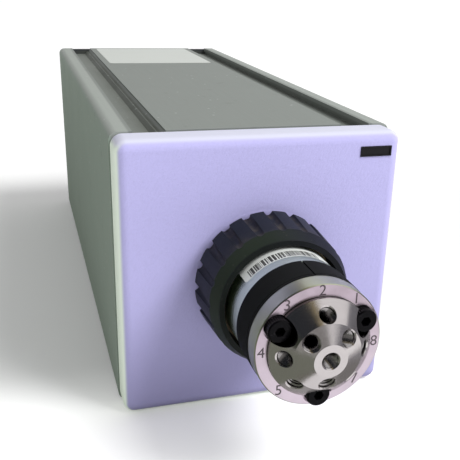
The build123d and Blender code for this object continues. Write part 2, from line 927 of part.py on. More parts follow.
def tag_ring():
    """Split ring round the pod's stub."""
    front = ahead(pod_front)
    back = ahead(pod_shoulder)
    body = ring(tag_ring_radius, pod_stub_radius + seat_play, front, back)
    line = front + tag_line_place
    floor = tag_ring_radius - tag_line_depth
    body -= ring(tag_ring_radius + cut_past, floor, line, line + tag_line_width)
    half = tag_ring_gap / 2
    gap = block((-half, half), (front, back), (0, tag_ring_radius + cut_past))
    return body - Pos(0, 0, axis_z) * Rot(0, tag_ring_gap_angle, 0) * gap


def port_cutter(circle, angle, tilt, mouth):
    """Threaded port with a flared mouth, a drill point and a fine bore to the valve face."""
    flare = port_mouth_radius - port_radius
    tool = Pos(0, 0, -port_depth / 2) * Cylinder(port_radius, port_depth)
    tool += Pos(0, 0, -flare / 2) * Cone(port_radius, port_mouth_radius, flare)
    tool += Pos(0, 0, cut_past) * Cylinder(port_mouth_radius, 2 * cut_past)
    tool += Pos(0, 0, -port_depth - port_tip_depth / 2) * Cone(
        port_bore_radius, port_radius, port_tip_depth
    )
    reach = (mouth - pod_front) / cos(radians(tilt))
    tool += Pos(0, 0, -reach / 2) * Cylinder(port_bore_radius, reach)
    x, z = clock(circle, angle)
    # The tool's +Z is laid along -Y, tilted outwards and then turned to its clock angle.
    return Pos(x, ahead(mouth), z) * Rot(0, angle, 0) * Rot(90 - tilt, 0, 0) * tool


def stator_screw_points():
    """(x, z) of the three stator screws."""
    return [clock(stator_screw_circle, angle) for angle in stator_screw_angles]


def steep_mouth():
    """Distance of the outer ports' mouths in front of the bezel face."""
    return cone_foot + (stator_boss_radius - steep_port_circle) * tan(radians(steep_tilt))


def shallow_mouth():
    """Distance of the inner ports' mouths in front of the bezel face."""
    return cone_break + (stator_break_radius - shallow_port_circle) * tan(radians(shallow_tilt))


def stator_head():
    """Double-coned stator with nine threaded ports and three screw pockets."""
    back = ahead(pod_front)
    rim = ahead(stator_rim)
    cut = stator_edge_chamfer
    head = turned([
        (0, back),
        (stator_radius, back),
        (stator_radius, rim + cut),
        (stator_radius - cut, rim),
        (stator_boss_radius, rim),
        (stator_boss_radius, ahead(cone_foot)),
        (stator_break_radius, ahead(cone_break)),
        (stator_flat_radius, ahead(cone_top)),
        (0, ahead(cone_top)),
    ])
    pocket_floor = rim + stator_pocket_depth
    for x, z in stator_screw_points():
        head -= disc(stator_pocket_radius, ahead(cone_top), pocket_floor, x, z)
        head -= disc(stator_screw[0] + screw_play, pocket_floor, back, x, z)
    for angle in steep_port_angles:
        head -= port_cutter(steep_port_circle, angle, steep_tilt, steep_mouth())
    for angle in shallow_port_angles:
        head -= port_cutter(shallow_port_circle, angle, shallow_tilt, shallow_mouth())
    return head - port_cutter(0, 0, 0, cone_top)


def stator_screws():
    """Three socket-head screws in the stator's pockets."""
    seat = ahead(stator_rim) + stator_pocket_depth
    points = stator_screw_points()
    return [screw(stator_screw, stator_screw_length, x, z, seat) for x, z in points]


def stator_face():
    """Hard face against which the rotor seal turns."""
    face = disc(stator_face_radius, ahead(pod_front), ahead(stator_face_back))
    for angle in range(0, 360, 45):
        x, z = clock(face_hole_circle, angle)
        face -= disc(face_hole_radius, ahead(pod_front), ahead(stator_face_back), x, z)
    return face - disc(face_hole_radius, ahead(pod_front), ahead(stator_face_back))


def rotor_seal():
    """Seal with one groove from the centre out to a port."""
    front = ahead(stator_face_back - face_play)
    seal = disc(rotor_seal_radius, front, ahead(seal_back))
    half = seal_groove_width / 2
    depth = (front, front + seal_groove_depth)
    return seal - block((-half, half), depth, (axis_z, axis_z + seal_groove_reach))


def rotor_shaft():
    """Disc and stem that carry the seal, with a tongue for the drive's slot."""
    back = ahead(collar_reach)
    shaft = disc(rotor_disc_radius, ahead(seal_back), ahead(disc_back))
    shaft += disc(rotor_stem_radius, ahead(disc_back), back)
    half_wide = tongue_width / 2
    half_thick = tongue_thickness / 2
    tongue = block(
        (-half_wide, half_wide),
        (back, back + tongue_reach),
        (axis_z - half_thick, axis_z + half_thick),
    )
    return shaft + tongue


def thrust_bearing():
    """Thrust bearing between the springs and the rotor's disc."""
    front = ahead(thrust_back + thrust_bearing_thickness)
    inner = rotor_stem_radius + running_play
    body = ring(rotor_disc_radius, inner, front, ahead(thrust_back))
    middle = (front + ahead(thrust_back)) / 2
    half = thrust_race_width / 2
    floor = rotor_disc_radius - thrust_race_depth
    return body - ring(rotor_disc_radius + cut_past, floor, middle - half, middle + half)


def disc_spring_stack():
    """Disc springs in opposed pairs that press the rotor on the stator."""
    springs = []
    back = ahead(thrust_back)
    inner = rotor_stem_radius + open_play
    outer = pod_cavity_radius - open_play
    for index in range(disc_springs):
        start = back + index * (disc_spring_thickness + disc_spring_cone)
        tall_outside = index % 2 == 0
        inner_y = start + (disc_spring_cone if tall_outside else 0)
        outer_y = start + (0 if tall_outside else disc_spring_cone)
        springs.append(
            turned([
                (inner, inner_y),
                (outer, outer_y),
                (outer, outer_y + disc_spring_thickness),
                (inner, inner_y + disc_spring_thickness),
            ])
        )
    return springs


def spring_spacer():
    """Sleeve that backs the disc springs against the pod's rear wall."""
    travel = disc_springs * (disc_spring_thickness + disc_spring_cone)
    front = ahead(thrust_back) + travel
    back = ahead(collar_reach + pod_rear_wall)
    inner = rotor_stem_radius + open_play
    return ring(pod_cavity_radius - open_play, inner, front, back)


builders = {
    "housing_extrusion": housing_extrusion,
    "front_plate": front_plate,
    "front_plate_screws": front_plate_screws,
    "front_bezel": front_bezel,
    "bezel_screws": bezel_screws,
    "status_window": status_window,
    "status_board": status_board,
    "valve_collar": valve_collar,
    "collar_screws": collar_screws,
    "output_bearings": output_bearings,
    "gearbox_case": gearbox_case,
    "gearbox_screws": gearbox_screws,
    "output_shaft": output_shaft,
    "planet_carrier": planet_carrier,
    "sun_pinion": sun_pinion,
    "motor_case": motor_case,
    "motor_screws": motor_screws,
    "motor_windings": motor_windings,
    "motor_bearings": motor_bearings,
    "motor_shaft": motor_shaft,
    "rotor_core": rotor_core,
    "encoder_disc": encoder_disc,
    "encoder_sensor": encoder_sensor,
    "encoder_cover": encoder_cover,
    "main_board": main_board,
    "capacitors": capacitors,
    "motor_driver": motor_driver,
    "rear_panel": rear_panel,
    "rear_panel_screws": rear_panel_screws,
    "bus_sockets": bus_sockets,
    "power_inlet": power_inlet,
    "union_nut": union_nut,
    "slip_ring": slip_ring,
    "pod_body": pod_body,
    "locating_pin": locating_pin,
    "tag_ring": tag_ring,
    "stator_head": stator_head,
    "stator_screws": stator_screws,
    "stator_face": stator_face,
    "rotor_seal": rotor_seal,
    "rotor_shaft": rotor_shaft,
    "thrust_bearing": thrust_bearing,
    "disc_spring_stack": disc_spring_stack,
    "spring_spacer": spring_spacer,
}
for number, place in enumerate(planet_places(), start=1):
    builders[f"planet_gear_{number}"] = lambda place=place: planet_gear(place)


def main():
    """Build every piece and write each as its own STEP file."""
    os.makedirs("parts", exist_ok=True)
    for name, build in builders.items():
        shape = build()
        if isinstance(shape, list):
            shape = Compound(children=shape)
        export_step(shape, f"parts/{name}.step")


main()
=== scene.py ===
"""Looks of a motorised selector valve.

A square painted drive with a grained front cover carries a quick-change valve head: a lobed
union nut, a turned barrel, a split tag ring and a coned steel stator with nine tube ports.
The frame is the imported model's, with +Z up and the valve along -Y. Sizes are millimetres,
turned into metres where a mesh is made.
"""

from __future__ import annotations

import json
import logging
import math
from collections.abc import Callable, Iterable
from dataclasses import dataclass, field
from enum import Enum

import bpy
from mathutils import Matrix, Vector

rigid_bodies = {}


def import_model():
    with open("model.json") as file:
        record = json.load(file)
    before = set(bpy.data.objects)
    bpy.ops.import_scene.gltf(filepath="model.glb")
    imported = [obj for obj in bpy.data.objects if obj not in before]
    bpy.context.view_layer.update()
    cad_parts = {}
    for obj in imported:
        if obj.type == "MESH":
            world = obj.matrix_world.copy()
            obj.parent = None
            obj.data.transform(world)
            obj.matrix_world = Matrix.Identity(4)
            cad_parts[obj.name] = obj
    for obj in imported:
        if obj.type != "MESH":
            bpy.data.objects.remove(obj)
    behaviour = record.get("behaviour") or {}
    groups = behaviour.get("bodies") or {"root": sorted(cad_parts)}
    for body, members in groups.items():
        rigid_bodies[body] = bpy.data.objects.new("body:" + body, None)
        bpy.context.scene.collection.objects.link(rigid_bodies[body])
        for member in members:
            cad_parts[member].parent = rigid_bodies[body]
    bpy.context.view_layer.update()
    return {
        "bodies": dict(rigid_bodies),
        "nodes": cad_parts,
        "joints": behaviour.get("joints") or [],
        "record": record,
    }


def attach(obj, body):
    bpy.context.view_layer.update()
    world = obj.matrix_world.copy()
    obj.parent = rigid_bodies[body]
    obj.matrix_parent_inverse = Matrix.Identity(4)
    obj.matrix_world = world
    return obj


LOG = logging.getLogger("selector_valve")
MM = 0.001
Colour = tuple[float, float, float]
Point = tuple[float, float, float]


def linear(red: int, green: int, blue: int) -> Colour:
    """Turn a screen colour into scene-linear light.

    Args:
        red: Red, from 0 to 255.
        green: Green, from 0 to 255.
        blue: Blue, from 0 to 255.

    Returns:
        The three scene-linear channels.
    """

    def channel(value: int) -> float:
        """Return one channel in linear light."""
        share = value / 255
        return share / 12.92 if share <= 0.04045 else ((share + 0.055) / 1.055) ** 2.4

    return channel(red), channel(green), channel(blue)


def times(colour: Colour, factor: float) -> Colour:
    """Return a colour made lighter or darker by a factor, at most white."""
    red, green, blue = (min(1.0, channel * factor) for channel in colour)
    return red, green, blue


# Shader maths


class Value:
    """A shader socket that takes part in arithmetic."""

    def __init__(self, graph: Graph, socket: bpy.types.NodeSocket) -> None:
        """Wrap one output socket of a graph."""
        self.graph = graph
        self.socket = socket

    def __add__(self, other: Value | float) -> Value:
        """Return the sum."""
        return self.graph.maths("ADD", self, other)

    __radd__ = __add__

    def __sub__(self, other: Value | float) -> Value:
        """Return the difference."""
        return self.graph.maths("SUBTRACT", self, other)

    def __rsub__(self, other: float) -> Value:
        """Return the difference from a number."""
        return self.graph.maths("SUBTRACT", other, self)

    def __mul__(self, other: Value | float) -> Value:
        """Return the product."""
        return self.graph.maths("MULTIPLY", self, other)

    __rmul__ = __mul__

    def __truediv__(self, other: Value | float) -> Value:
        """Return the quotient."""
        return self.graph.maths("DIVIDE", self, other)

    def __pow__(self, other: float) -> Value:
        """Return the power."""
        return self.graph.maths("POWER", self, other)

    def step(self, low: float, high: float) -> Value:
        """Rise smoothly between two values.

        Args:
            low: The value at which the result is 0.
            high: The value at which the result is 1; below low for a fall.

        Returns:
            The stepped value, from 0 to 1.
        """
        return self.graph.node(
            "ShaderNodeMapRange",
            {"interpolation_type": "SMOOTHSTEP"},
            {"Value": self, "From Min": low, "From Max": high},
        )

    def within(self, low: float, high: float, soft: float) -> Value:
        """Be 1 between two values and fade to 0 outside them.

        Args:
            low: Lower edge.
            high: Upper edge.
            soft: Width of each fade.

        Returns:
            The mask, from 0 to 1.
        """
        return self.step(low - soft, low) * self.step(high + soft, high)


Feed = Value | float | tuple[float, ...]


class Graph:
    """The node tree of a material or of the world."""

    def __init__(self, owner: bpy.types.Material | bpy.types.World) -> None:
        """Start the owner's nodes afresh."""
        owner.use_nodes = True
        self.owner = owner
        self.tree = owner.node_tree
        self.tree.nodes.clear()

    def feed(self, socket: bpy.types.NodeSocket, value: Feed) -> None:
        """Link a value into a socket, or set the socket's own value.

        Args:
            socket: The input socket.
            value: A Value to link, or a number, vector or colour to set.
        """
        if isinstance(value, Value):
            self.tree.links.new(value.socket, socket)
        elif isinstance(value, tuple) and socket.type == "RGBA":
            socket.default_value = (*value[:3], 1.0)
        else:
            socket.default_value = value

    def node(
        self,
        kind: str,
        settings: dict[str, object] | None = None,
        inputs: dict[str | int, Feed] | None = None,
        output: int | str = 0,
    ) -> Value:
        """Add a node.

        Args:
            kind: The node's type.
            settings: Its properties, set first.
            inputs: Values or links of its sockets, by name or number.
            output: Name or number of the output to return.

        Returns:
            That output.
        """
        node = self.tree.nodes.new(kind)
        for name, value in (settings or {}).items():
            setattr(node, name, value)
        for name, value in (inputs or {}).items():
            self.feed(node.inputs[name], value)
        return Value(self, node.outputs[output])

    def maths(self, operation: str, *values: Value | float) -> Value:
        """Add a Math node on the values."""
        return self.node("ShaderNodeMath", {"operation": operation}, dict(enumerate(values)))

    def mix(self, factor: Value | float, first: Feed, second: Feed) -> Value:
        """Blend two colours.

        Args:
            factor: Share of the second colour.
            first: Colour at factor 0.
            second: Colour at factor 1.

        Returns:
            The blended colour.
        """
        settings = {"data_type": "RGBA"}
        return self.node("ShaderNodeMix", settings, {0: factor, 6: first, 7: second}, output=2)

    def place(self) -> Value:
        """Return the object coordinates in millimetres, as a vector."""
        at = self.node("ShaderNodeTexCoord", output=3)
        settings = {"operation": "SCALE"}
        return self.node("ShaderNodeVectorMath", settings, {0: at, "Scale": 1 / MM})

    def axes(self) -> tuple[Value, Value, Value]:
        """Return x, y and z in millimetres."""
        split = self.node("ShaderNodeSeparateXYZ", inputs={0: self.place()}).socket.node
        x, y, z = (Value(self, socket) for socket in split.outputs)
        return x, y, z

    def turned(self, axis: float) -> tuple[Value, Value, Value, Value]:
        """Return x, y, the height above a lengthwise axis and the distance from it.

        Args:
            axis: Height of the axis, in millimetres.

        Returns:
            The four values, in millimetres.
        """
        x, y, z = self.axes()
        up = z - axis
        return x, y, up, (x * x + up * up) ** 0.5

    def vector(self, x: Value | float, y: Value | float, z: Value | float) -> Value:
        """Join three values into a vector."""
        return self.node("ShaderNodeCombineXYZ", inputs={0: x, 1: y, 2: z})

    def noise(self, at: Value, scale: float, detail: float = 3.0, rough: float = 0.5) -> Value:
        """Return fractal noise, from 0 to 1.

        Args:
            at: Place, in millimetres.
            scale: Cells to the millimetre.
            detail: Octaves.
            rough: Share of each finer octave.

        Returns:
            The noise.
        """
        inputs = {"Vector": at, "Scale": scale, "Detail": detail, "Roughness": rough}
        return self.node("ShaderNodeTexNoise", inputs=inputs)

    def cells(self, at: Value, scale: float) -> Value:
        """Return the distance to the nearest of scattered points."""
        return self.node("ShaderNodeTexVoronoi", inputs={"Vector": at, "Scale": scale})

    def bump(self, height: Value, depth: float) -> Value:
        """Turn a height into a bent normal.

        Args:
            height: Height, from 0 to 1.
            depth: Real height of 1, in millimetres.

        Returns:
            The normal.
        """
        return self.node("ShaderNodeBump", inputs={"Height": height, "Distance": depth * MM, "Strength": 1.0})

    def surface(self, **inputs: Feed) -> bpy.types.Material:
        """Finish the material with a Principled surface.

        Args:
            **inputs: The surface's sockets, named with _ for a space.

        Returns:
            The finished material.
        """
        shader = self.tree.nodes.new("ShaderNodeBsdfPrincipled")
        for name, value in inputs.items():
            self.feed(shader.inputs[name.replace("_", " ")], value)
        self.end("ShaderNodeOutputMaterial", shader.outputs[0])
        return self.owner

    def end(self, kind: str, surface: bpy.types.NodeSocket) -> None:
        """Add the output node and link the surface to it."""
        out = self.tree.nodes.new(kind)
        self.tree.links.new(surface, out.inputs["Surface"])


# Finishes


@dataclass(frozen=True)
class Finish:
    """A finish: its name, its colour and how rough it is."""

    name: str
    colour: Colour
    roughness: float = 0.5
    shine: float = 0.5

    def shade(self, graph: Graph) -> bpy.types.Material:
        """Build the finish in an empty graph; each kind of finish has its own."""
        raise NotImplementedError

    def material(self) -> bpy.types.Material:
        """Return the finish's material, made once."""
        made = bpy.data.materials.get(self.name)
        return made or self.shade(Graph(bpy.data.materials.new(self.name)))


@dataclass(frozen=True)
class PlainMoulding(Finish):
    """Fine-grained moulded plastic or rubber."""

    grain: float = 2.0
    grain_depth: float = 0.02
    variation: float = 0.12

    def shade(self, graph: Graph) -> bpy.types.Material:
        """Vary the colour a little and roughen the skin."""
        at = graph.place()
        cloud = graph.noise(at, 0.08, 4.0)
        grain = graph.noise(at, self.grain, 2.0)
        dark = times(self.colour, 1 - self.variation)
        light = times(self.colour, 1 + self.variation)
        return graph.surface(
            Base_Color=graph.mix(cloud, dark, light),
            Roughness=self.roughness + (cloud - 0.5) * 0.15,
            Specular_IOR_Level=self.shine,
            Normal=graph.bump(grain, self.grain_depth),
        )


@dataclass(frozen=True)
class MachinedMetal(Finish):
    """Bare metal with a fine machined or ground grain."""

    grain: float = 0.8
    grain_depth: float = 0.004

    def shade(self, graph: Graph) -> bpy.types.Material:
        """Draw the grain out along the valve axis."""
        x, y, z = graph.axes()
        grain = graph.noise(graph.vector(x, y * 0.1, z), self.grain * 4, 2.0)
        cloud = graph.noise(graph.place(), 0.1, 3.0)
        dark = times(self.colour, 0.85)
        return graph.surface(
            Base_Color=graph.mix(cloud, dark, self.colour),
            Metallic=1.0,
            Roughness=self.roughness + (grain - 0.5) * 0.2,
            Normal=graph.bump(grain, self.grain_depth),
        )


@dataclass(frozen=True)
class StovedPaint(Finish):
    """Thin satin paint on an aluminium extrusion, with a few rubs and specks, a painted light tint on its
    sides and a painted highlight on its rail tops.
    """

    draw_lines: float = 1.2
    speck: Colour = linear(196, 200, 198)
    grime: Colour = linear(84, 88, 80)
    side_tint: Colour = linear(141, 154, 143)
    side: float = 50.0
    axis: float = 50.0
    groove_wall: float = 42.2
    rail_tint: Colour = linear(172, 178, 172)

    def shade(self, graph: Graph) -> bpy.types.Material:
        """Lay faint draw lines, soft clouds, pale rubs and small specks over the paint.

        Dirt and painted shade darken the mounting grooves.
        """
        x, y, z = graph.axes()
        at = graph.place()
        across = graph.maths("ABSOLUTE", x)
        off = graph.maths("ABSOLUTE", z - self.axis)
        groove = across.step(self.groove_wall + 0.9, self.groove_wall + 0.2)
        groove = groove * off.within(self.axis - 5.5, self.axis - 1.6, 0.5)
        foot = groove * across.step(self.groove_wall - 2.0, self.groove_wall - 8.5)
        lines = graph.noise(graph.vector(x, y * 0.02, z), self.draw_lines, 3.0, 0.6)
        cloud = graph.noise(at, 0.035, 4.0, 0.6)
        worn = graph.noise(at, 0.11, 5.0, 0.65).step(0.60, 0.74)
        specks = graph.cells(at, 0.16).step(0.10, 0.05)
        scratch = graph.noise(graph.vector(x * 0.9, y * 0.06, z * 0.9), 1.5, 2.0)
        dark = times(self.colour, 0.86)
        light = times(self.colour, 1.10)
        tone = graph.mix(cloud * 0.6 + lines * 0.4, dark, light)
        # painted light: the side faces take a greener, lighter tint for how light falls on them
        tone = graph.mix(across.step(self.side - 1.5, self.side - 0.1), tone, self.side_tint)
        # painted highlight: the tops of the outer rails and their rounded edges are lighter
        rail = across.step(self.groove_wall + 0.8, self.groove_wall + 1.8)
        rail = rail * z.step(self.axis + 48.0, self.axis + 49.6)
        tone = graph.mix(rail * 0.55, tone, self.rail_tint)
        # dark mix: worn patches of dirt, and the grooves darkened by dirt and painted shade
        tone = graph.mix(worn * 0.25 + groove * 0.35 + foot * cloud * 0.6, tone, self.grime)
        tone = graph.mix(scratch.step(0.72, 0.80) * 0.35 + specks * 0.45, tone, self.speck)
        grain = graph.noise(at, 2.2, 2.0)
        return graph.surface(
            Base_Color=tone,
            Roughness=self.roughness + (cloud - 0.5) * 0.2,
            Specular_IOR_Level=self.shine,
            Normal=graph.bump(grain + lines, 0.03),
        )


@dataclass(frozen=True)
class CoverMoulding(Finish):
    """Pale moulded cover: leather grain on its front, smooth sides; painted light tints its sides and top,
    and painted shade darkens its front towards the bottom.
    """

    front: float = -133.5
    wrinkle: float = 1.0
    wrinkle_depth: float = 0.16
    side: Colour = linear(240, 252, 236)
    right_side: Colour = linear(204, 197, 216)
    top: Colour = linear(210, 211, 228)

    def shade(self, graph: Graph) -> bpy.types.Material:
        """Cut the grain off where the front turns into the sides."""
        x, y, z = graph.axes()
        at = graph.place()
        on_front = y.step(self.front + 1.6, self.front + 0.5)
        drawn = graph.vector((x + z) * 0.55, y, (z - x) * 1.25)
        fine = graph.noise(at, 2.6, 2.0)
        height = graph.noise(drawn, self.wrinkle, 3.0, 0.55) * 0.8 + fine * 0.25
        cloud = graph.noise(at, 0.05, 4.0)
        # painted shade: the front darkens towards the bottom, most on its lowest edge
        low = graph.mix(z.step(1.0, 60.0), times(self.colour, 0.8), self.colour)
        low = graph.mix(z.step(5.0, 1.0) * 0.68, low, times(self.colour, 0.35))
        # painted light: the left side greener, the right side and the top each tinted for how light falls on
        # them
        edge = graph.mix(x.step(30.0, 45.0), self.side, self.right_side)
        edge = graph.mix(z.step(96.5, 98.5), edge, self.top)
        pits = height.step(0.56, 0.36)
        face = graph.mix(pits * 0.16, low, times(self.colour, 0.8))
        face = graph.mix(cloud * 0.2, face, times(self.colour, 0.88))
        return graph.surface(
            Base_Color=graph.mix(on_front, edge, face),
            Roughness=self.roughness + (fine - 0.5) * 0.15,
            Specular_IOR_Level=self.shine,
            Normal=graph.bump(height * on_front, self.wrinkle_depth),
        )


@dataclass(frozen=True)
class SmokedLens(Finish):
    """Near-black glossy window plastic."""

    def shade(self, graph: Graph) -> bpy.types.Material:
        """Add a little dust and a faint unevenness."""
        at = graph.place()
        dust = graph.noise(at, 1.4, 5.0, 0.7).step(0.58, 0.78)
        return graph.surface(
            Base_Color=graph.mix(dust * 0.15, self.colour, linear(90, 88, 92)),
            Roughness=self.roughness + dust * 0.25,
            Specular_IOR_Level=self.shine,
            Normal=graph.bump(graph.noise(at, 0.4, 1.0), 0.01),
        )


@dataclass(frozen=True)
class GripMoulding(Finish):
    """Dark moulding of the union nut, rubbed on its crests, with dust in its grooves that gathers towards the
    top as a painted highlight.
    """

    axis: float = 50.0
    groove_radius: float = 23.7
    shoulder: float = -152.3
    lip: float = -157.2
    dust: Colour = linear(84, 78, 74)
    shoulder_tint: Colour = linear(45, 53, 42)
    shoulder_dark: Colour = linear(22, 24, 31)

    def shade(self, graph: Graph) -> bpy.types.Material:
        """Paint a greener reflection on the shoulder's left, and let pale dust settle low in the grooves,
        heavier towards the top as a painted highlight.
        """
        x, y, up, radius = graph.turned(self.axis)
        at = graph.place()
        cloud = graph.noise(at, 0.25, 5.0, 0.6)
        fine = graph.noise(at, 1.6, 3.0)
        low = radius.step(self.groove_radius + 0.7, self.groove_radius - 0.3)
        behind = y.step(self.shoulder - 0.6, self.shoulder + 0.6)
        specks = graph.cells(at, 0.45).step(0.14, 0.07)
        tone = graph.mix(cloud, times(self.colour, 0.8), self.colour)
        # painted reflection: the shoulder turns greener towards its left
        shoulder = graph.mix(x.step(12.0, -14.0), self.shoulder_dark, self.shoulder_tint)
        tone = graph.mix((1.0 - behind) * 0.8, tone, shoulder)
        tone = graph.mix(y.step(self.lip + 0.5, self.lip - 0.2) * 0.7, tone, linear(22, 23, 27))
        # dust in the grooves, heavier towards the top as a painted highlight
        dust_and_top_highlight = low * behind * cloud.step(0.35, 0.62) * (up.step(8.0, 22.0) * 0.7 + 0.15)
        tone = graph.mix(dust_and_top_highlight * 0.8 + specks * 0.3, tone, self.dust)
        return graph.surface(
            Base_Color=tone,
            Roughness=self.roughness + dust_and_top_highlight * 0.3 + (fine - 0.5) * 0.15,
            Specular_IOR_Level=self.shine,
            Normal=graph.bump(fine, 0.03),
        )


@dataclass(frozen=True)
class TurnedAluminium(Finish):
    """Anodised aluminium turned about the valve axis."""

    axis: float = 50.0
    groove: float = 3.5
    groove_depth: float = 0.016

    def shade(self, graph: Graph) -> bpy.types.Material:
        """Run fine tool lines round the barrel."""
        _, y, _, radius = graph.turned(self.axis)
        lines = graph.noise(graph.vector(radius, y, 0.0), self.groove, 3.0, 0.6)
        cloud = graph.noise(graph.place(), 0.12, 4.0)
        dark = times(self.colour, 0.82)
        return graph.surface(
            Base_Color=graph.mix(cloud * 0.5 + lines * 0.5, dark, self.colour),
            Metallic=1.0,
            Roughness=self.roughness + (lines - 0.5) * 0.18,
            Normal=graph.bump(lines, self.groove_depth),
        )


@dataclass(frozen=True)
class TurnedSteel(Finish):
    """Stainless steel, turned: satin rim, brighter cones, painted shade in the ports, and painted reflections
    on the rim and side band.
    """

    axis: float = 50.0
    face: float = -133.5
    rim_radius: float = 15.7
    rim_tint: Colour = linear(226, 210, 224)
    patina: Colour = linear(176, 158, 172)
    side_tint: Colour = linear(200, 208, 168)
    side_radius: float = 19.3
    bore: Colour = linear(28, 27, 28)
    cones: tuple[Point, Point] = ((53.5, 15.7, 1.0), (58.8, 10.4, 0.4717))
    top: float = 61.3

    def shade(self, graph: Graph) -> bpy.types.Material:
        """Ring the face finely so that light draws into wedges."""
        _, y, up, radius = graph.turned(self.axis)
        fine = graph.noise(graph.vector(radius, 0.0, 0.0), 9.0, 2.0, 0.6)
        coarse = graph.noise(graph.vector(radius, y, 0.0), 1.6, 2.0)
        cloud = graph.noise(graph.place(), 0.3, 4.0)
        on_rim = radius.step(self.rim_radius, self.rim_radius + 0.3)
        # painted dark reflection: the rim face darkens towards the top in uneven patches
        dark_reflection_mask = up.step(-12.0, 17.0) * (0.5 + cloud * 0.6)
        rim = graph.mix(dark_reflection_mask, self.rim_tint, self.patina)
        # painted reflection: the outer side band takes a greenish tint
        rim = graph.mix(radius.step(self.side_radius - 0.2, self.side_radius), rim, self.side_tint)
        tone = graph.mix(on_rim, self.colour, rim)
        worn = cloud * 0.2 + fine.step(0.35, 0.75) * 0.3
        tone = graph.mix(worn, tone, times(self.colour, 0.7))
        # painted shade: the ports darken with depth
        tone = graph.mix(self.depth(graph, radius, y) * (1.0 - on_rim), tone, self.bore)
        rings = fine * 0.7 + coarse * 0.3
        return graph.surface(
            Base_Color=tone,
            Metallic=1.0,
            Roughness=self.roughness + on_rim * 0.1 + (cloud - 0.5) * 0.1,
            Normal=graph.bump(rings, 0.022),
        )

    def depth(self, graph: Graph, radius: Value, y: Value) -> Value:
        """Return how far inside a port a place lies, from 0 at its mouth to 1.

        Args:
            graph: The material's graph.
            radius: Distance from the valve axis.
            y: Place along it.

        Returns:
            The mask.
        """
        surface: Value | float = self.top
        for foot, edge, slope in self.cones:
            surface = graph.maths("MINIMUM", surface, foot + (edge - radius) * slope)
        return (surface - (self.face - y)).step(0.45, 1.5)


@dataclass(frozen=True)
class BlackOxide(Finish):
    """Blackened steel screws, rubbed on their edges."""

    rub: Colour = linear(92, 88, 92)

    def shade(self, graph: Graph) -> bpy.types.Material:
        """Let a little steel show through in patches."""
        at = graph.place()
        rubbed = graph.noise(at, 0.9, 5.0, 0.65).step(0.58, 0.72)
        return graph.surface(
            Base_Color=graph.mix(rubbed * 0.12, self.colour, self.rub),
            Metallic=0.4,
            Roughness=self.roughness - rubbed * 0.08,
            Specular_IOR_Level=self.shine,
            Normal=graph.bump(graph.noise(at, 3.0, 2.0), 0.01),
        )


@dataclass(frozen=True)
class LabelPaper(Finish):
    """Pale bare label stock."""

    def shade(self, graph: Graph) -> bpy.types.Material:
        """Give the sheet a faint fibre and a soft soiling."""
        at = graph.place()
        soil = graph.noise(at, 0.09, 5.0, 0.6).step(0.45, 0.85)
        return graph.surface(
            Base_Color=graph.mix(soil * 0.25, self.colour, linear(186, 188, 180)),
            Roughness=self.roughness,
            Specular_IOR_Level=self.shine,
            Normal=graph.bump(graph.noise(at, 4.0, 2.0), 0.008),
        )


@dataclass(frozen=True)
class BarLabel(Finish):
    """White label wrapped round the barrel, printed with plain bars."""

    axis: float = 50.0
    ink: Colour = linear(40, 38, 38)
    bars_to_degree: float = 0.8
    band: tuple[float, float] = (-162.9, -158.9)
    span: tuple[float, float] = (-46.0, 26.0)

    def shade(self, graph: Graph) -> bpy.types.Material:
        """Print bars of changing width in a band along the label."""
        x, y, z = graph.axes()
        angle = graph.maths("ARCTAN2", x, z - self.axis) * (180 / math.pi)
        wave = graph.noise(graph.vector(angle * self.bars_to_degree, 0.0, 0.0), 1.0, 1.0)
        bars = wave.step(0.47, 0.485) * y.within(*self.band, 0.1) * angle.within(*self.span, 0.4)
        soil = graph.noise(graph.place(), 0.2, 4.0).step(0.4, 0.8)
        tone = graph.mix(soil * 0.2, self.colour, linear(190, 194, 190))
        return graph.surface(
            Base_Color=graph.mix(bars * 0.95, tone, self.ink),
            Roughness=self.roughness - bars * 0.1,
        )


@dataclass(frozen=True)
class BoardLaminate(Finish):
    """Green solder resist over copper tracks."""

    track: Colour = linear(52, 128, 84)
    pad: Colour = linear(206, 196, 170)

    def shade(self, graph: Graph) -> bpy.types.Material:
        """Show tracks faintly under the resist and a scatter of tinned pads."""
        at = graph.place()
        tracks = graph.node(
            "ShaderNodeTexBrick",
            {"offset": 0.5},
            {"Vector": at, "Scale": 0.4, "Mortar Size": 0.06, "Mortar Smooth": 0.1},
            output=1,
        )
        pads = graph.cells(at, 0.35).step(0.16, 0.12)
        tone = graph.mix(tracks * 0.8, self.colour, self.track)
        return graph.surface(
            Base_Color=graph.mix(pads, tone, self.pad),
            Metallic=pads * 0.8,
            Roughness=self.roughness,
            Normal=graph.bump(tracks + pads, 0.03),
        )


@dataclass(frozen=True)
class WoundCopper(Finish):
    """Enamelled copper wire, wound side by side."""

    wire: float = 0.5

    def shade(self, graph: Graph) -> bpy.types.Material:
        """Ridge the surface at the wire's spacing."""
        settings = {"wave_type": "BANDS", "bands_direction": "DIAGONAL", "wave_profile": "SIN"}
        inputs = {"Vector": graph.place(), "Scale": 1 / self.wire / 2, "Distortion": 0.6}
        wires = graph.node("ShaderNodeTexWave", settings, inputs, output=1)
        return graph.surface(
            # painted shade: darker between the wires
            Base_Color=graph.mix(wires, times(self.colour, 0.35), self.colour),
            Metallic=0.85,
            Roughness=self.roughness,
            Normal=graph.bump(wires, 0.15),
        )


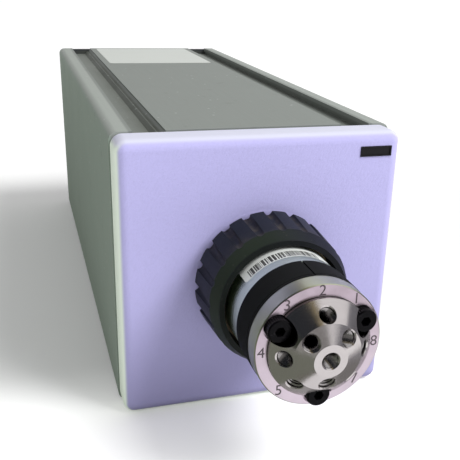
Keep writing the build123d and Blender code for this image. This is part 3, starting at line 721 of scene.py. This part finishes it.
class Coat(Enum):
    """The finish of each of the record's material slots, and of the printed pieces."""

    grey_paint = StovedPaint("satin_grey_paint", linear(132, 137, 133), 0.55, 0.1)
    plate_alloy = MachinedMetal("milled_plate_alloy", linear(170, 172, 174), 0.42)
    steel = MachinedMetal("zinc_plated_steel", linear(176, 176, 172), 0.32)
    bezel_plastic = CoverMoulding("pebbled_cover_moulding", linear(189, 185, 233), 0.55, 0.25)
    window_plastic = SmokedLens("smoked_window", linear(22, 20, 24), 0.12, 0.15)
    board_laminate = BoardLaminate("board_laminate", linear(24, 92, 58), 0.35)
    collar_alloy = TurnedAluminium("turned_collar_alloy", linear(150, 152, 152), 0.4)
    gear_steel = MachinedMetal("hobbed_gear_steel", linear(150, 148, 144), 0.3)
    motor_alloy = MachinedMetal("cast_motor_alloy", linear(120, 122, 124), 0.5)
    copper_winding = WoundCopper("enamelled_copper", linear(178, 92, 44), 0.38)
    black_plastic = PlainMoulding("black_moulding", linear(30, 30, 32), 0.5, 0.3)
    can_sleeve = PlainMoulding("capacitor_sleeve", linear(34, 44, 74), 0.34)
    sink_alloy = MachinedMetal("heat_sink_alloy", linear(92, 94, 98), 0.45)
    panel_paint = StovedPaint("dark_panel_paint", linear(64, 66, 70), 0.5, 0.3, speck=linear(92, 94, 96))
    magnet_core = MachinedMetal("magnet_core", linear(96, 94, 92), 0.45)
    disc_film = PlainMoulding("encoder_film", linear(58, 54, 70), 0.25)
    pod_alloy = TurnedAluminium("turned_barrel_alloy", linear(232, 248, 216), 0.3)
    tag_plastic = PlainMoulding("matt_black_ring", linear(28, 29, 28), 0.7, 0.06)
    stator_steel = TurnedSteel("turned_stator_steel", linear(206, 200, 200), 0.2)
    black_screw = BlackOxide("black_oxide", linear(10, 9, 12), 0.24, 0.12)
    ceramic = PlainMoulding("lapped_ceramic", linear(232, 230, 222), 0.2)
    seal_plastic = PlainMoulding("seal_polymer", linear(196, 176, 142), 0.4)
    nut_plastic = GripMoulding("nut_moulding", linear(27, 32, 39), 0.42, 0.12)
    plain_label = LabelPaper("plain_label", linear(197, 201, 196), 0.45, 0.15)
    bar_label = BarLabel("bar_label", linear(228, 231, 228), 0.42)
    engraving = PlainMoulding("engraved_numbers", linear(78, 68, 74), 0.55)
    # painted highlight: the knurled sleeves are a lighter oxide that stands for their glints
    worn_knurl = BlackOxide("worn_knurl_oxide", linear(38, 36, 40), 0.24, 0.6)
    contact_gold = MachinedMetal("plated_contacts", linear(212, 172, 88), 0.25)
    thread_steel = MachinedMetal("cut_thread_steel", linear(168, 164, 164), 0.24)


# Modelling


class Pick(Enum):
    """Which part of a mesh a selection is about."""

    VERT = "vertices"
    EDGE = "edges"
    FACE = "polygons"


class Bench:
    """Blender's modelling steps, used by every sub-assembly."""

    @staticmethod
    def clear() -> None:
        """Deselect every object, so that an operator acts only on what follows."""
        bpy.ops.object.select_all(action="DESELECT")

    @staticmethod
    def only(piece: bpy.types.Object) -> None:
        """Select one object alone and make it active."""
        Bench.clear()
        piece.select_set(True)
        bpy.context.view_layer.objects.active = piece

    @staticmethod
    def circle(name: str, sides: int, radius: float, at: Point = (0.0, 0.0, 0.0)) -> bpy.types.Object:
        """Add a ring of edges about Z, in edit mode and all selected.

        Args:
            name: Name of the new piece.
            sides: Number of vertices.
            radius: Radius, in millimetres.
            at: Its middle, in millimetres.

        Returns:
            The new piece.
        """
        Bench.clear()
        place = tuple(c * MM for c in at)
        bpy.ops.mesh.primitive_circle_add(
            vertices=sides, radius=radius * MM, fill_type="NOTHING", location=place
        )
        piece = bpy.context.object
        piece.name = name
        bpy.ops.object.transform_apply(location=True, rotation=True, scale=True)
        bpy.ops.object.mode_set(mode="EDIT")
        bpy.ops.mesh.select_all(action="SELECT")
        return piece

    @staticmethod
    def sheet(name: str, width: float, height: float, corner: float) -> bpy.types.Object:
        """Add a flat sheet with rounded corners in the XY plane, in edit mode.

        Args:
            name: Name of the new piece.
            width: Size along X, in millimetres.
            height: Size along Y, in millimetres.
            corner: Radius of its corners, in millimetres.

        Returns:
            The new piece.
        """
        Bench.clear()
        bpy.ops.mesh.primitive_plane_add(size=MM)
        piece = bpy.context.object
        piece.name = name
        bpy.ops.object.mode_set(mode="EDIT")
        bpy.ops.mesh.select_all(action="SELECT")
        bpy.ops.transform.resize(value=(width, height, 1.0), center_override=(0, 0, 0))
        bpy.ops.mesh.bevel(offset=corner * MM, segments=6, affect="VERTICES")
        return piece

    @staticmethod
    def select(piece: bpy.types.Object, part: Pick, test: Callable[[Vector], bool]) -> None:
        """Select the parts of a mesh whose middle passes a test, and stay in edit mode.

        Args:
            piece: The piece being modelled.
            part: Vertices, edges or faces.
            test: Takes the middle, in millimetres.
        """
        bpy.ops.mesh.select_mode(type=part.name)
        bpy.ops.mesh.select_all(action="DESELECT")
        bpy.ops.object.mode_set(mode="OBJECT")
        mesh = piece.data
        for element in getattr(mesh, part.value):
            if part is Pick.VERT:
                middle = element.co
            elif part is Pick.EDGE:
                middle = sum((mesh.vertices[v].co for v in element.vertices), Vector()) / 2
            else:
                middle = element.center
            element.select = test(middle / MM)
        bpy.ops.object.mode_set(mode="EDIT")

    @staticmethod
    def grow(shift: Point = (0.0, 0.0, 0.0), scale: Point | None = None) -> None:
        """Extrude what is selected, shift it and scale it about the origin.

        Args:
            shift: Movement, in millimetres.
            scale: Factors along X, Y and Z.
        """
        bpy.ops.mesh.extrude_region_move(
            TRANSFORM_OT_translate={"value": tuple(c * MM for c in shift)}
        )
        if scale:
            bpy.ops.transform.resize(value=scale, center_override=(0, 0, 0))

    @staticmethod
    def modify(piece: bpy.types.Object, kind: str, **settings: object) -> None:
        """Add a modifier, set it and apply it.

        Args:
            piece: The piece, in object mode.
            kind: The modifier's type.
            **settings: Its properties.
        """
        Bench.only(piece)
        modifier = piece.modifiers.new(kind.lower(), kind)
        for name, value in settings.items():
            setattr(modifier, name, value)
        bpy.ops.object.modifier_apply(modifier=modifier.name)

    @staticmethod
    def close(piece: bpy.types.Object, sides: int = 0) -> None:
        """Merge doubles, fill open ends and turn the faces outwards, back in object mode.

        Args:
            piece: The piece being modelled.
            sides: Largest hole to fill, in edges; 0 fills none.
        """
        bpy.context.view_layer.objects.active = piece
        if piece.mode != "EDIT":
            bpy.ops.object.mode_set(mode="EDIT")
        bpy.ops.mesh.select_mode(type="VERT")
        bpy.ops.mesh.select_all(action="SELECT")
        bpy.ops.mesh.remove_doubles(threshold=0.002 * MM)
        if sides:
            bpy.ops.mesh.fill_holes(sides=sides)
            bpy.ops.mesh.select_all(action="SELECT")
        bpy.ops.mesh.normals_make_consistent(inside=False)
        bpy.ops.object.mode_set(mode="OBJECT")

    @staticmethod
    def settle(piece: bpy.types.Object, place: Matrix) -> bpy.types.Object:
        """Put a piece in place and leave its object at the origin.

        Args:
            piece: The piece, in object mode.
            place: Where its own frame goes, in metres.

        Returns:
            The piece.
        """
        Bench.only(piece)
        piece.matrix_world = place
        bpy.ops.object.transform_apply(location=True, rotation=True, scale=True)
        return piece

    @staticmethod
    def repeat(piece: bpy.types.Object, places: Iterable[Matrix]) -> bpy.types.Object:
        """Copy a piece to each place and join the copies into one.

        Args:
            piece: The model, in its own frame; it is used up.
            places: Where each copy's frame goes, in metres.

        Returns:
            The joined piece.
        """
        name = piece.name
        copies = []
        for place in places:
            copy = piece.copy()
            copy.data = piece.data.copy()
            bpy.context.scene.collection.objects.link(copy)
            copies.append(Bench.settle(copy, place))
        bpy.data.objects.remove(piece)
        return Bench.join(copies, name)

    @staticmethod
    def join(pieces: list[bpy.types.Object], name: str) -> bpy.types.Object:
        """Join pieces into the first of them and name it."""
        Bench.clear()
        for piece in pieces:
            piece.select_set(True)
        bpy.context.view_layer.objects.active = pieces[0]
        bpy.ops.object.join()
        joined = bpy.context.object
        joined.name = name
        return joined

    @staticmethod
    def smooth(piece: bpy.types.Object, degrees: float = 35.0) -> None:
        """Smooth the faces that meet at less than an angle."""
        Bench.only(piece)
        bpy.ops.object.shade_smooth_by_angle(angle=math.radians(degrees))

    @staticmethod
    def finish(piece: bpy.types.Object, body: str, coat: Coat, slot: str) -> bpy.types.Object:
        """Dress a piece, put it on its body and report it.

        Args:
            piece: The finished piece.
            body: The body it rides on.
            coat: Its finish.
            slot: A material slot of the record; not used.

        Returns:
            The piece.
        """
        piece.data.materials.clear()
        piece.data.materials.append(coat.value.material())
        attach(piece, body)
        LOG.info("%s on %s, %d faces", piece.name, body, len(piece.data.polygons))
        return piece


@dataclass(frozen=True)
class ValveAxis:
    """The valve's axis, which runs along -Y out of the cover's face."""

    face: float = -133.5
    height: float = 50.0

    def ahead(self, forward: float, x: float = 0.0, up: float = 0.0) -> Matrix:
        """Return a frame ahead of the cover's face, its Z pointing out of the valve.

        Args:
            forward: Distance ahead of the cover's front face, in millimetres.
            x: Sideways from the axis, in millimetres.
            up: Above the axis, in millimetres.

        Returns:
            The frame, in metres: its X is the part's X and its Y the part's Z.
        """
        place = Vector((x, self.face - forward, self.height + up)) * MM
        return Matrix.Translation(place) @ Matrix.Rotation(math.pi / 2, 4, "X")

    def around(self, forward: float, radius: float, clock: float, tilt: float = 0.0) -> Matrix:
        """Return a frame on a circle about the axis, its Y pointing outwards.

        Args:
            forward: Distance ahead of the cover's front face, in millimetres.
            radius: Radius of the circle, in millimetres.
            clock: Angle clockwise from the top, in degrees.
            tilt: Lean of its Z away from the axis, in degrees.

        Returns:
            The frame, in metres.
        """
        turn = Matrix.Rotation(-math.radians(clock), 4, "Z")
        out = Matrix.Translation(Vector((0.0, radius, 0.0)) * MM)
        lean = Matrix.Rotation(-math.radians(tilt), 4, "X")
        return self.ahead(forward) @ turn @ out @ lean


AXIS = ValveAxis()


@dataclass(frozen=True)
class Helix:
    """Ridge of a right-hand screw thread about Z."""

    root: float
    crest: float
    pitch: float
    turns: int
    width: float
    steps: int = 28

    def build(self, name: str, start: float) -> bpy.types.Object:
        """Wind the ridge from a three-sided profile.

        Args:
            name: Name of the new piece.
            start: Height of its low end, in millimetres.

        Returns:
            The piece, in its own frame.
        """
        inward = self.crest < self.root
        reach = abs(self.root - self.crest)
        side = -1.0 if inward else 1.0
        piece = Bench.circle(name, 3, reach / 1.5)
        bpy.ops.transform.rotate(
            value=side * math.pi / 2, orient_axis="Z", center_override=(0, 0, 0)
        )
        bpy.ops.transform.rotate(value=math.pi / 2, orient_axis="X", center_override=(0, 0, 0))
        spread = self.width / (reach / 1.5 * math.sqrt(3))
        bpy.ops.transform.resize(value=(1.0, 1.0, spread), center_override=(0, 0, 0))
        middle = self.root + side * reach / 3
        bpy.ops.transform.translate(value=(middle * MM, 0.0, start * MM))
        bpy.ops.object.mode_set(mode="OBJECT")
        Bench.modify(
            piece,
            "SCREW",
            axis="Z",
            angle=2 * math.pi,
            screw_offset=self.pitch * MM,
            iterations=self.turns,
            steps=self.steps,
            render_steps=self.steps,
            use_merge_vertices=True,
            merge_threshold=0.001 * MM,
        )
        Bench.close(piece, sides=3)
        Bench.smooth(piece)
        return piece


# Sub-assemblies


@dataclass
class CarriedNodes:
    """The frame's own nodes, which keep their shape and get their finish here."""

    frame: dict

    def dress(self) -> None:
        """Give every node the finish of its material slot."""
        for part in self.frame["record"]["subparts"]:
            node = self.frame["nodes"][part["node"]]
            material = Coat[part["material_slot"]].value.material()
            if not node.material_slots:
                node.data.materials.append(material)
            for held in node.material_slots:
                held.material = material
            LOG.info("%s wears %s", node.name, material.name)


@dataclass
class CollarThread:
    """Threads of the collar and of the union nut that screws onto it."""

    collar_radius: float = 21.6
    nut_radius: float = 21.9
    height: float = 0.22
    pitch: float = 2.0
    collar_span: tuple[float, float] = (0.6, 9.4)
    nut_span: tuple[float, float] = (3.2, 10.2)

    def build(self) -> None:
        """Wind both threads, half a pitch apart so that they mesh."""
        for name, root, side, span, shift, body, coat, slot in (
            ("collar_thread", self.collar_radius, 1, self.collar_span, 0.0,
             "housing", Coat.collar_alloy, "collar_alloy"),
            ("nut_thread", self.nut_radius, -1, self.nut_span, self.pitch / 2,
             "nut", Coat.nut_plastic, "nut_plastic"),
        ):
            crest = root + side * self.height
            inner = root - side * 0.05
            turns = int((span[1] - span[0] - 1.0 - shift) / self.pitch)
            helix = Helix(inner, crest, self.pitch, turns, 1.1, 72)
            piece = helix.build(name, span[0] + 0.5 + shift)
            Bench.settle(piece, AXIS.ahead(0.0))
            Bench.finish(piece, body, coat, slot)


@dataclass
class CoverRim:
    """Inner rim of the cover's opening, close round the collar."""

    inner: float = 22.1
    outer: float = 24.4
    front: float = 0.02
    depth: float = 2.4

    def build(self) -> None:
        """Draw a ring back into the opening and round its front edge."""
        piece = Bench.circle("cover_rim", 96, self.outer)
        Bench.grow(scale=(self.inner / self.outer, self.inner / self.outer, 1.0))
        bpy.ops.mesh.select_all(action="SELECT")
        Bench.grow(shift=(0.0, 0.0, -self.depth))
        Bench.close(piece)
        Bench.modify(piece, "BEVEL", width=0.25 * MM, segments=3, limit_method="ANGLE")
        Bench.smooth(piece)
        Bench.settle(piece, AXIS.ahead(self.front))
        Bench.finish(piece, "housing", Coat.bezel_plastic, "bezel_plastic")


@dataclass
class BarrelLabel:
    """White label wrapped round the barrel, its rear edge under the nut's lip."""

    radius: float = 19.02
    back: float = 20.5
    front: float = 29.8
    clock_from: float = -53.0
    clock_to: float = 38.0
    corner: float = 1.3
    thickness: float = 0.06
    strips: int = 40

    def build(self) -> None:
        """Cut a rounded sheet in strips, bend it and wrap it round the barrel."""
        sweep = math.radians(self.clock_to - self.clock_from)
        length = sweep * self.radius
        width = self.front - self.back
        piece = Bench.sheet("barrel_label", length, width, self.corner)
        for index in range(1, self.strips):
            bpy.ops.mesh.select_all(action="SELECT")
            place = (length * (index / self.strips - 0.5) * MM, 0.0, 0.0)
            bpy.ops.mesh.bisect(plane_co=place, plane_no=(1.0, 0.0, 0.0))
        bpy.ops.object.mode_set(mode="OBJECT")
        self.wrap(piece)
        Bench.modify(piece, "SOLIDIFY", thickness=self.thickness * MM, offset=1.0)
        Bench.close(piece)
        Bench.smooth(piece)
        Bench.settle(piece, AXIS.ahead((self.front + self.back) / 2))
        Bench.finish(piece, "valve_head", Coat.bar_label, "pod_alloy")

    def wrap(self, piece: bpy.types.Object) -> None:
        """Bend the flat sheet into its arc about Z, its length along the clock.

        Args:
            piece: The sheet, its length along X and its width along Y.
        """
        middle = math.radians(self.clock_from + self.clock_to) / 2
        for corner in piece.data.vertices:
            clock = middle + corner.co.x / MM / self.radius
            along = corner.co.y
            corner.co = Vector(
                (math.sin(clock) * self.radius * MM, math.cos(clock) * self.radius * MM, along)
            )
        piece.data.update()


@dataclass
class TopLabel:
    """Plain label on the housing's top, near its rear."""

    span_x: tuple[float, float] = (-28.0, 28.0)
    span_y: tuple[float, float] = (48.0, 118.0)
    top: float = 100.0
    corner: float = 2.0
    thickness: float = 0.12

    def build(self) -> None:
        """Round a sheet's corners, thicken it and lay it on the centre rib."""
        width = self.span_x[1] - self.span_x[0]
        length = self.span_y[1] - self.span_y[0]
        piece = Bench.sheet("top_label", width, length, self.corner)
        bpy.ops.object.mode_set(mode="OBJECT")
        Bench.modify(piece, "SOLIDIFY", thickness=self.thickness * MM, offset=1.0)
        Bench.modify(piece, "BEVEL", width=0.04 * MM, segments=2)
        Bench.close(piece)
        middle = Vector((sum(self.span_x) / 2, sum(self.span_y) / 2, self.top)) * MM
        Bench.settle(piece, Matrix.Translation(middle))
        Bench.finish(piece, "housing", Coat.plain_label, "grey_paint")


@dataclass
class PortThreads:
    """Fine threads cut in the stator's nine tube ports."""

    root: float = 2.42
    crest: float = 2.02
    pitch: float = 0.794
    turns: int = 7
    start: float = -6.4
    cone_foot: float = 53.5
    steep: tuple[float, float, float] = (12.3, 15.7, 45.0)
    shallow: tuple[float, float, float] = (8.0, 10.4, 25.27)
    steep_clocks: tuple[int, ...] = (0, 90, 135, 225, 270)
    shallow_clocks: tuple[int, ...] = (45, 180, 315)
    steep_height: float = 5.3
    shallow_height: float = 2.5

    def places(self) -> list[Matrix]:
        """Return the frame of each port's mouth, its Z pointing out."""
        circle, foot, tilt = self.steep
        mouth = self.cone_foot + (foot - circle) * math.tan(math.radians(tilt))
        found = [AXIS.around(mouth, circle, clock, tilt) for clock in self.steep_clocks]
        circle, foot, tilt = self.shallow
        mouth = self.cone_foot + self.steep_height
        mouth += (foot - circle) * math.tan(math.radians(tilt))
        found += [AXIS.around(mouth, circle, clock, tilt) for clock in self.shallow_clocks]
        top = self.cone_foot + self.steep_height + self.shallow_height
        return [*found, AXIS.ahead(top)]

    def build(self) -> None:
        """Wind one thread and copy it into every port."""
        helix = Helix(self.root, self.crest, self.pitch, self.turns, 0.66)
        ridge = helix.build("port_threads", self.start)
        piece = Bench.repeat(ridge, self.places())
        Bench.finish(piece, "valve_head", Coat.thread_steel, "stator_steel")


@dataclass
class ScrewKnurls:
    """Knurled sleeves of the three stator screws' heads."""

    circle: float = 15.0
    clocks: tuple[int, ...] = (60, 180, 300)
    seat: float = 50.9
    low: float = 0.2
    high: float = 3.55
    inner: float = 3.38
    valley: float = 3.46
    crest: float = 3.64
    teeth: int = 34

    def build(self) -> None:
        """Raise every other edge of a ring, draw it up and turn its ends in."""
        sides = 2 * self.teeth
        piece = Bench.circle("screw_knurls", sides, self.valley)
        Bench.select(piece, Pick.VERT, lambda at: round(self.tooth(at)) % 2 == 0)
        grown = self.crest / self.valley
        bpy.ops.transform.resize(value=(grown, grown, 1.0), center_override=(0, 0, 0))
        bpy.ops.mesh.select_all(action="SELECT")
        bpy.ops.transform.translate(value=(0.0, 0.0, self.low * MM))
        Bench.grow(shift=(0.0, 0.0, self.high - self.low))
        tucked = self.inner / self.crest
        Bench.grow(shift=(0.0, 0.0, 0.12), scale=(tucked, tucked, 1.0))
        Bench.grow(shift=(0.0, 0.0, self.low - self.high))
        bpy.ops.mesh.select_mode(type="EDGE")
        bpy.ops.mesh.select_all(action="DESELECT")
        bpy.ops.mesh.select_non_manifold()
        bpy.ops.mesh.bridge_edge_loops()
        Bench.close(piece)
        Bench.smooth(piece, 20.0)
        places = [AXIS.around(self.seat, self.circle, clock) for clock in self.clocks]
        piece = Bench.repeat(piece, places)
        Bench.finish(piece, "valve_head", Coat.worn_knurl, "black_screw")

    def tooth(self, at: Vector) -> float:
        """Return how many half teeth a point lies round the ring."""
        return math.atan2(at.x, at.y) / math.pi * self.teeth


@dataclass
class PortNumbers:
    """Numbers on the stator's rim, one beside each outer port."""

    forward: float = 52.3
    circle: float = 17.45
    height: float = 3.5
    places: dict[str, float] = field(default_factory=lambda: {
        "1": 37.5, "2": 0.0, "3": -36.5, "4": -90.0, "5": -138.0, "7": 136.0, "8": 92.0,
    })

    def build(self) -> None:
        """Set each number upright on the rim and make them one mesh."""
        pieces = [self.number(text, clock) for text, clock in self.places.items()]
        piece = Bench.join(pieces, "port_numbers")
        Bench.finish(piece, "valve_head", Coat.engraving, "stator_steel")

    def number(self, text: str, clock: float) -> bpy.types.Object:
        """Make one number a thin mesh in its place.

        Args:
            text: The number.
            clock: Angle clockwise from the top, in degrees.

        Returns:
            The number's mesh.
        """
        Bench.clear()
        bpy.ops.object.text_add()
        piece = bpy.context.object
        piece.data.body = text
        piece.data.align_x = "CENTER"
        piece.data.align_y = "CENTER"
        piece.data.size = self.height * 1.35 * MM
        piece.data.extrude = 0.02 * MM
        bpy.ops.object.convert(target="MESH")
        piece = bpy.context.object
        turn = math.radians(clock)
        x = self.circle * math.sin(turn)
        up = self.circle * math.cos(turn)
        return Bench.settle(piece, AXIS.ahead(self.forward, x, up))


@dataclass
class SocketContacts:
    """Sprung contacts in the two bus sockets at the rear."""

    places_x: tuple[float, float] = (-12.0, 12.0)
    count: int = 8
    spacing: float = 1.02
    rear: float = 124.5
    ceiling: float = 33.9
    wire: float = 0.22
    depth: float = 9.6

    def build(self) -> None:
        """Bend one wire down from the socket's ceiling and copy it."""
        piece = Bench.circle("socket_contacts", 10, self.wire)
        Bench.grow(shift=(0.0, 0.0, -3.0))
        for turn, run, drop in ((-2.5, 1.2, 0.3), (-2.0, 1.6, 0.9), (0.0, 2.6, 1.5)):
            Bench.grow(shift=(0.0, -drop, -run))
            bpy.ops.transform.rotate(value=math.radians(turn), orient_axis="X", orient_type="GLOBAL")
        Bench.close(piece, sides=10)
        Bench.smooth(piece)
        places = []
        for middle in self.places_x:
            for index in range(self.count):
                x = middle + (index - (self.count - 1) / 2) * self.spacing
                place = Vector((x, self.rear - self.depth, self.ceiling - self.wire)) * MM
                turned = Matrix.Rotation(math.pi / 2, 4, "X")
                places.append(Matrix.Translation(place) @ turned)
        piece = Bench.repeat(piece, places)
        Bench.finish(piece, "housing", Coat.contact_gold, "steel")


# Studio


@dataclass(frozen=True)
class Card:
    """Glowing card that only gloss sees, a painted reflection, in millimetres and metres."""

    name: str
    at: Point
    target: Point
    size: tuple[float, float]
    colour: Colour


@dataclass
class Studio:
    """Camera, lamps, world, floor and cards."""

    camera_place: Point = (-75.9, -352.3, 150.4)
    forward: Point = (0.2954, 0.8825, -0.3660)
    up: Point = (0.0823, 0.3582, 0.9300)
    lens: float = 56.2
    shift: tuple[float, float] = (-0.0555, 0.0442)
    floor_size: float = 12.0
    backdrop: Colour = linear(254, 254, 254)
    ambient: float = 0.50
    # painted reflections: the raised cards stand for darker parts of the room in gloss, and the cards at the
    # floor stand for the floor's shade
    cards: tuple[Card, ...] = (
        Card("ceiling_card", (-1300, -400, 700), (-1300, -400, 0), (2.55, 4.0), linear(50, 53, 57)),
        Card("warm_card", (45, -400, 700), (45, -400, 0), (0.14, 4.0), linear(150, 138, 104)),
        Card("left_card", (-1200, -400, 700), (0, -400, 700), (4.0, 1.5), linear(60, 66, 56)),
        Card("front_card", (-1010, -1600, 800), (-1010, 0, 800), (3.0, 1.6), linear(152, 151, 150)),
        Card("right_card", (1000, -100, 125), (0, -100, 125), (3.0, 0.25), linear(118, 118, 122)),
        Card("under_head_card", (-45, -240, 3), (-45, -240, 500), (0.07, 0.14), linear(118, 118, 108)),
        Card(
            "under_head_right_card", (48, -187, 3), (48, -187, 500), (0.056, 0.034), linear(134, 132, 130)
        ),
        Card("upper_right_card", (1000, -400, 385), (0, -400, 385), (2.4, 0.27), linear(126, 126, 132)),
        Card("front_right_card", (1500, -1600, 250), (1500, 0, 250), (1.6, 0.5), linear(132, 132, 138)),
        Card("left_floor_card", (-820, 240, 3), (-820, 240, 500), (1.6, 1.3), linear(130, 134, 122)),
        Card("near_floor_card", (-820, -955, 3), (-820, -955, 500), (1.6, 1.08), linear(164, 164, 160)),
        Card("middle_floor_card", (5, 355, 3), (5, 355, 500), (0.05, 1.09), linear(170, 168, 168)),
        Card("right_floor_card", (830, 339, 3), (830, 339, 500), (1.6, 1.122), linear(142, 140, 144)),
    )

    def build(self) -> None:
        """Set up the whole studio."""
        bpy.context.scene.view_settings.view_transform = "Standard"
        self.camera()
        self.floor()
        self.world()
        self.sun((0.52, -0.37, 0.77), 24.0, 2.0)
        self.lamp("key", (330, -520, 430), (10, -130, 60), 0.3, 1.2)
        for card in self.cards:
            self.card(card)

    def camera(self) -> None:
        """Place the camera."""
        bpy.ops.object.camera_add()
        camera = bpy.context.object
        forward = Vector(self.forward).normalized()
        up = Vector(self.up).normalized()
        right = forward.cross(up).normalized()
        up = right.cross(forward)
        turn = Matrix((right, up, -forward)).transposed().to_4x4()
        camera.matrix_world = Matrix.Translation(Vector(self.camera_place) * MM) @ turn
        camera.data.lens = self.lens
        camera.data.sensor_width = 36.0
        camera.data.shift_x, camera.data.shift_y = self.shift
        camera.data.clip_start = 0.01
        camera.data.clip_end = 100.0
        bpy.context.scene.camera = camera

    def floor(self) -> None:
        """Lay a pale floor that keeps the object's shadow; for the camera it glows a little everywhere, and
        more in front of and behind the object, as painted light.
        """
        Bench.clear()
        bpy.ops.mesh.primitive_plane_add(size=self.floor_size)
        floor = bpy.context.object
        floor.name = "floor"
        graph = Graph(bpy.data.materials.new("studio_floor"))
        seen = graph.node("ShaderNodeLightPath", output="Is Camera Ray")
        y = graph.axes()[1]
        # painted light: camera-only glow, stronger in front of and behind the object, lightens the floor and
        # its shadow there
        painted_floor_light = (y.step(-90.0, -135.0) * 0.20 + y.step(60.0, 220.0) * 0.12 + 0.05) * seen
        floor.data.materials.append(
            graph.surface(
                Base_Color=(0.9, 0.9, 0.9),
                Roughness=0.9,
                Specular_IOR_Level=0.1,
                Emission_Color=graph.mix(painted_floor_light, (0.0, 0.0, 0.0), (1.0, 1.0, 1.0)),
                Emission_Strength=1.0,
            )
        )

    def world(self) -> None:
        """Light the room evenly and show white to the camera and in gloss."""
        world = bpy.data.worlds.new("studio_world")
        bpy.context.scene.world = world
        graph = Graph(world)
        shown: Value | float = 0.0
        for ray in ("Is Camera Ray", "Is Glossy Ray", "Is Transmission Ray"):
            shown = graph.maths("MAXIMUM", shown, graph.node("ShaderNodeLightPath", output=ray))
        strength = self.ambient + shown * (1.0 - self.ambient)
        inputs = {"Color": self.backdrop, "Strength": strength}
        sky = graph.node("ShaderNodeBackground", inputs=inputs)
        graph.end("ShaderNodeOutputWorld", sky.socket)

    def sun(self, towards: Point, spread: float, power: float) -> None:
        """Add a broad far lamp.

        Args:
            towards: Direction from the object to it.
            spread: Its angle across, in degrees.
            power: Its light on a surface that faces it, in watts to the square metre.
        """
        bpy.ops.object.light_add(type="SUN")
        lamp = bpy.context.object
        lamp.name = "far_lamp"
        lamp.data.angle = math.radians(spread)
        lamp.data.energy = power
        lamp.matrix_world = self.facing(tuple(1000 * c for c in towards), (0, 0, 0))
        lamp.visible_glossy = False

    def lamp(self, name: str, at: Point, target: Point, size: float, power: float) -> None:
        """Add a square soft lamp.

        Args:
            name: Its name.
            at: Its place, in millimetres.
            target: Where it points, in millimetres.
            size: Its side, in metres.
            power: Its power, in watts.
        """
        bpy.ops.object.light_add(type="AREA")
        lamp = bpy.context.object
        lamp.name = name
        lamp.data.shape = "SQUARE"
        lamp.data.size = size
        lamp.data.energy = power
        lamp.matrix_world = self.facing(at, target)
        lamp.visible_glossy = False

    def card(self, made: Card) -> None:
        """Stand a glowing card that only gloss sees, as a painted reflection.

        Args:
            made: Its place, size and colour.
        """
        Bench.clear()
        bpy.ops.mesh.primitive_plane_add(size=1.0)
        card = bpy.context.object
        card.name = made.name
        card.data.transform(Matrix.Diagonal((*made.size, 1.0, 1.0)))
        card.matrix_world = self.facing(made.at, made.target)
        graph = Graph(bpy.data.materials.new(f"{made.name}_colour"))
        card.data.materials.append(
            graph.surface(
                Base_Color=(0.0, 0.0, 0.0),
                Specular_IOR_Level=0.0,
                Emission_Color=made.colour,
                Emission_Strength=1.0,
            )
        )
        card.visible_camera = False
        card.visible_diffuse = False
        card.visible_shadow = False
        card.visible_transmission = False

    @staticmethod
    def facing(at: Point, target: Point) -> Matrix:
        """Return a frame at a place, its -Z towards a target."""
        place = Vector(at) * MM
        away = place - Vector(target) * MM
        turn = away.to_track_quat("Z", "Y").to_matrix().to_4x4()
        return Matrix.Translation(place) @ turn


def main() -> None:
    """Dress the frame, add the fine pieces and set up the studio."""
    logging.basicConfig(level=logging.INFO, format="%(name)s: %(message)s")
    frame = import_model()
    CarriedNodes(frame).dress()
    for assembly in (
        CollarThread(), CoverRim(), BarrelLabel(), TopLabel(), PortThreads(), ScrewKnurls(),
        PortNumbers(), SocketContacts(),
    ):
        assembly.build()
    Studio().build()


if __name__ == "__main__":
    main()
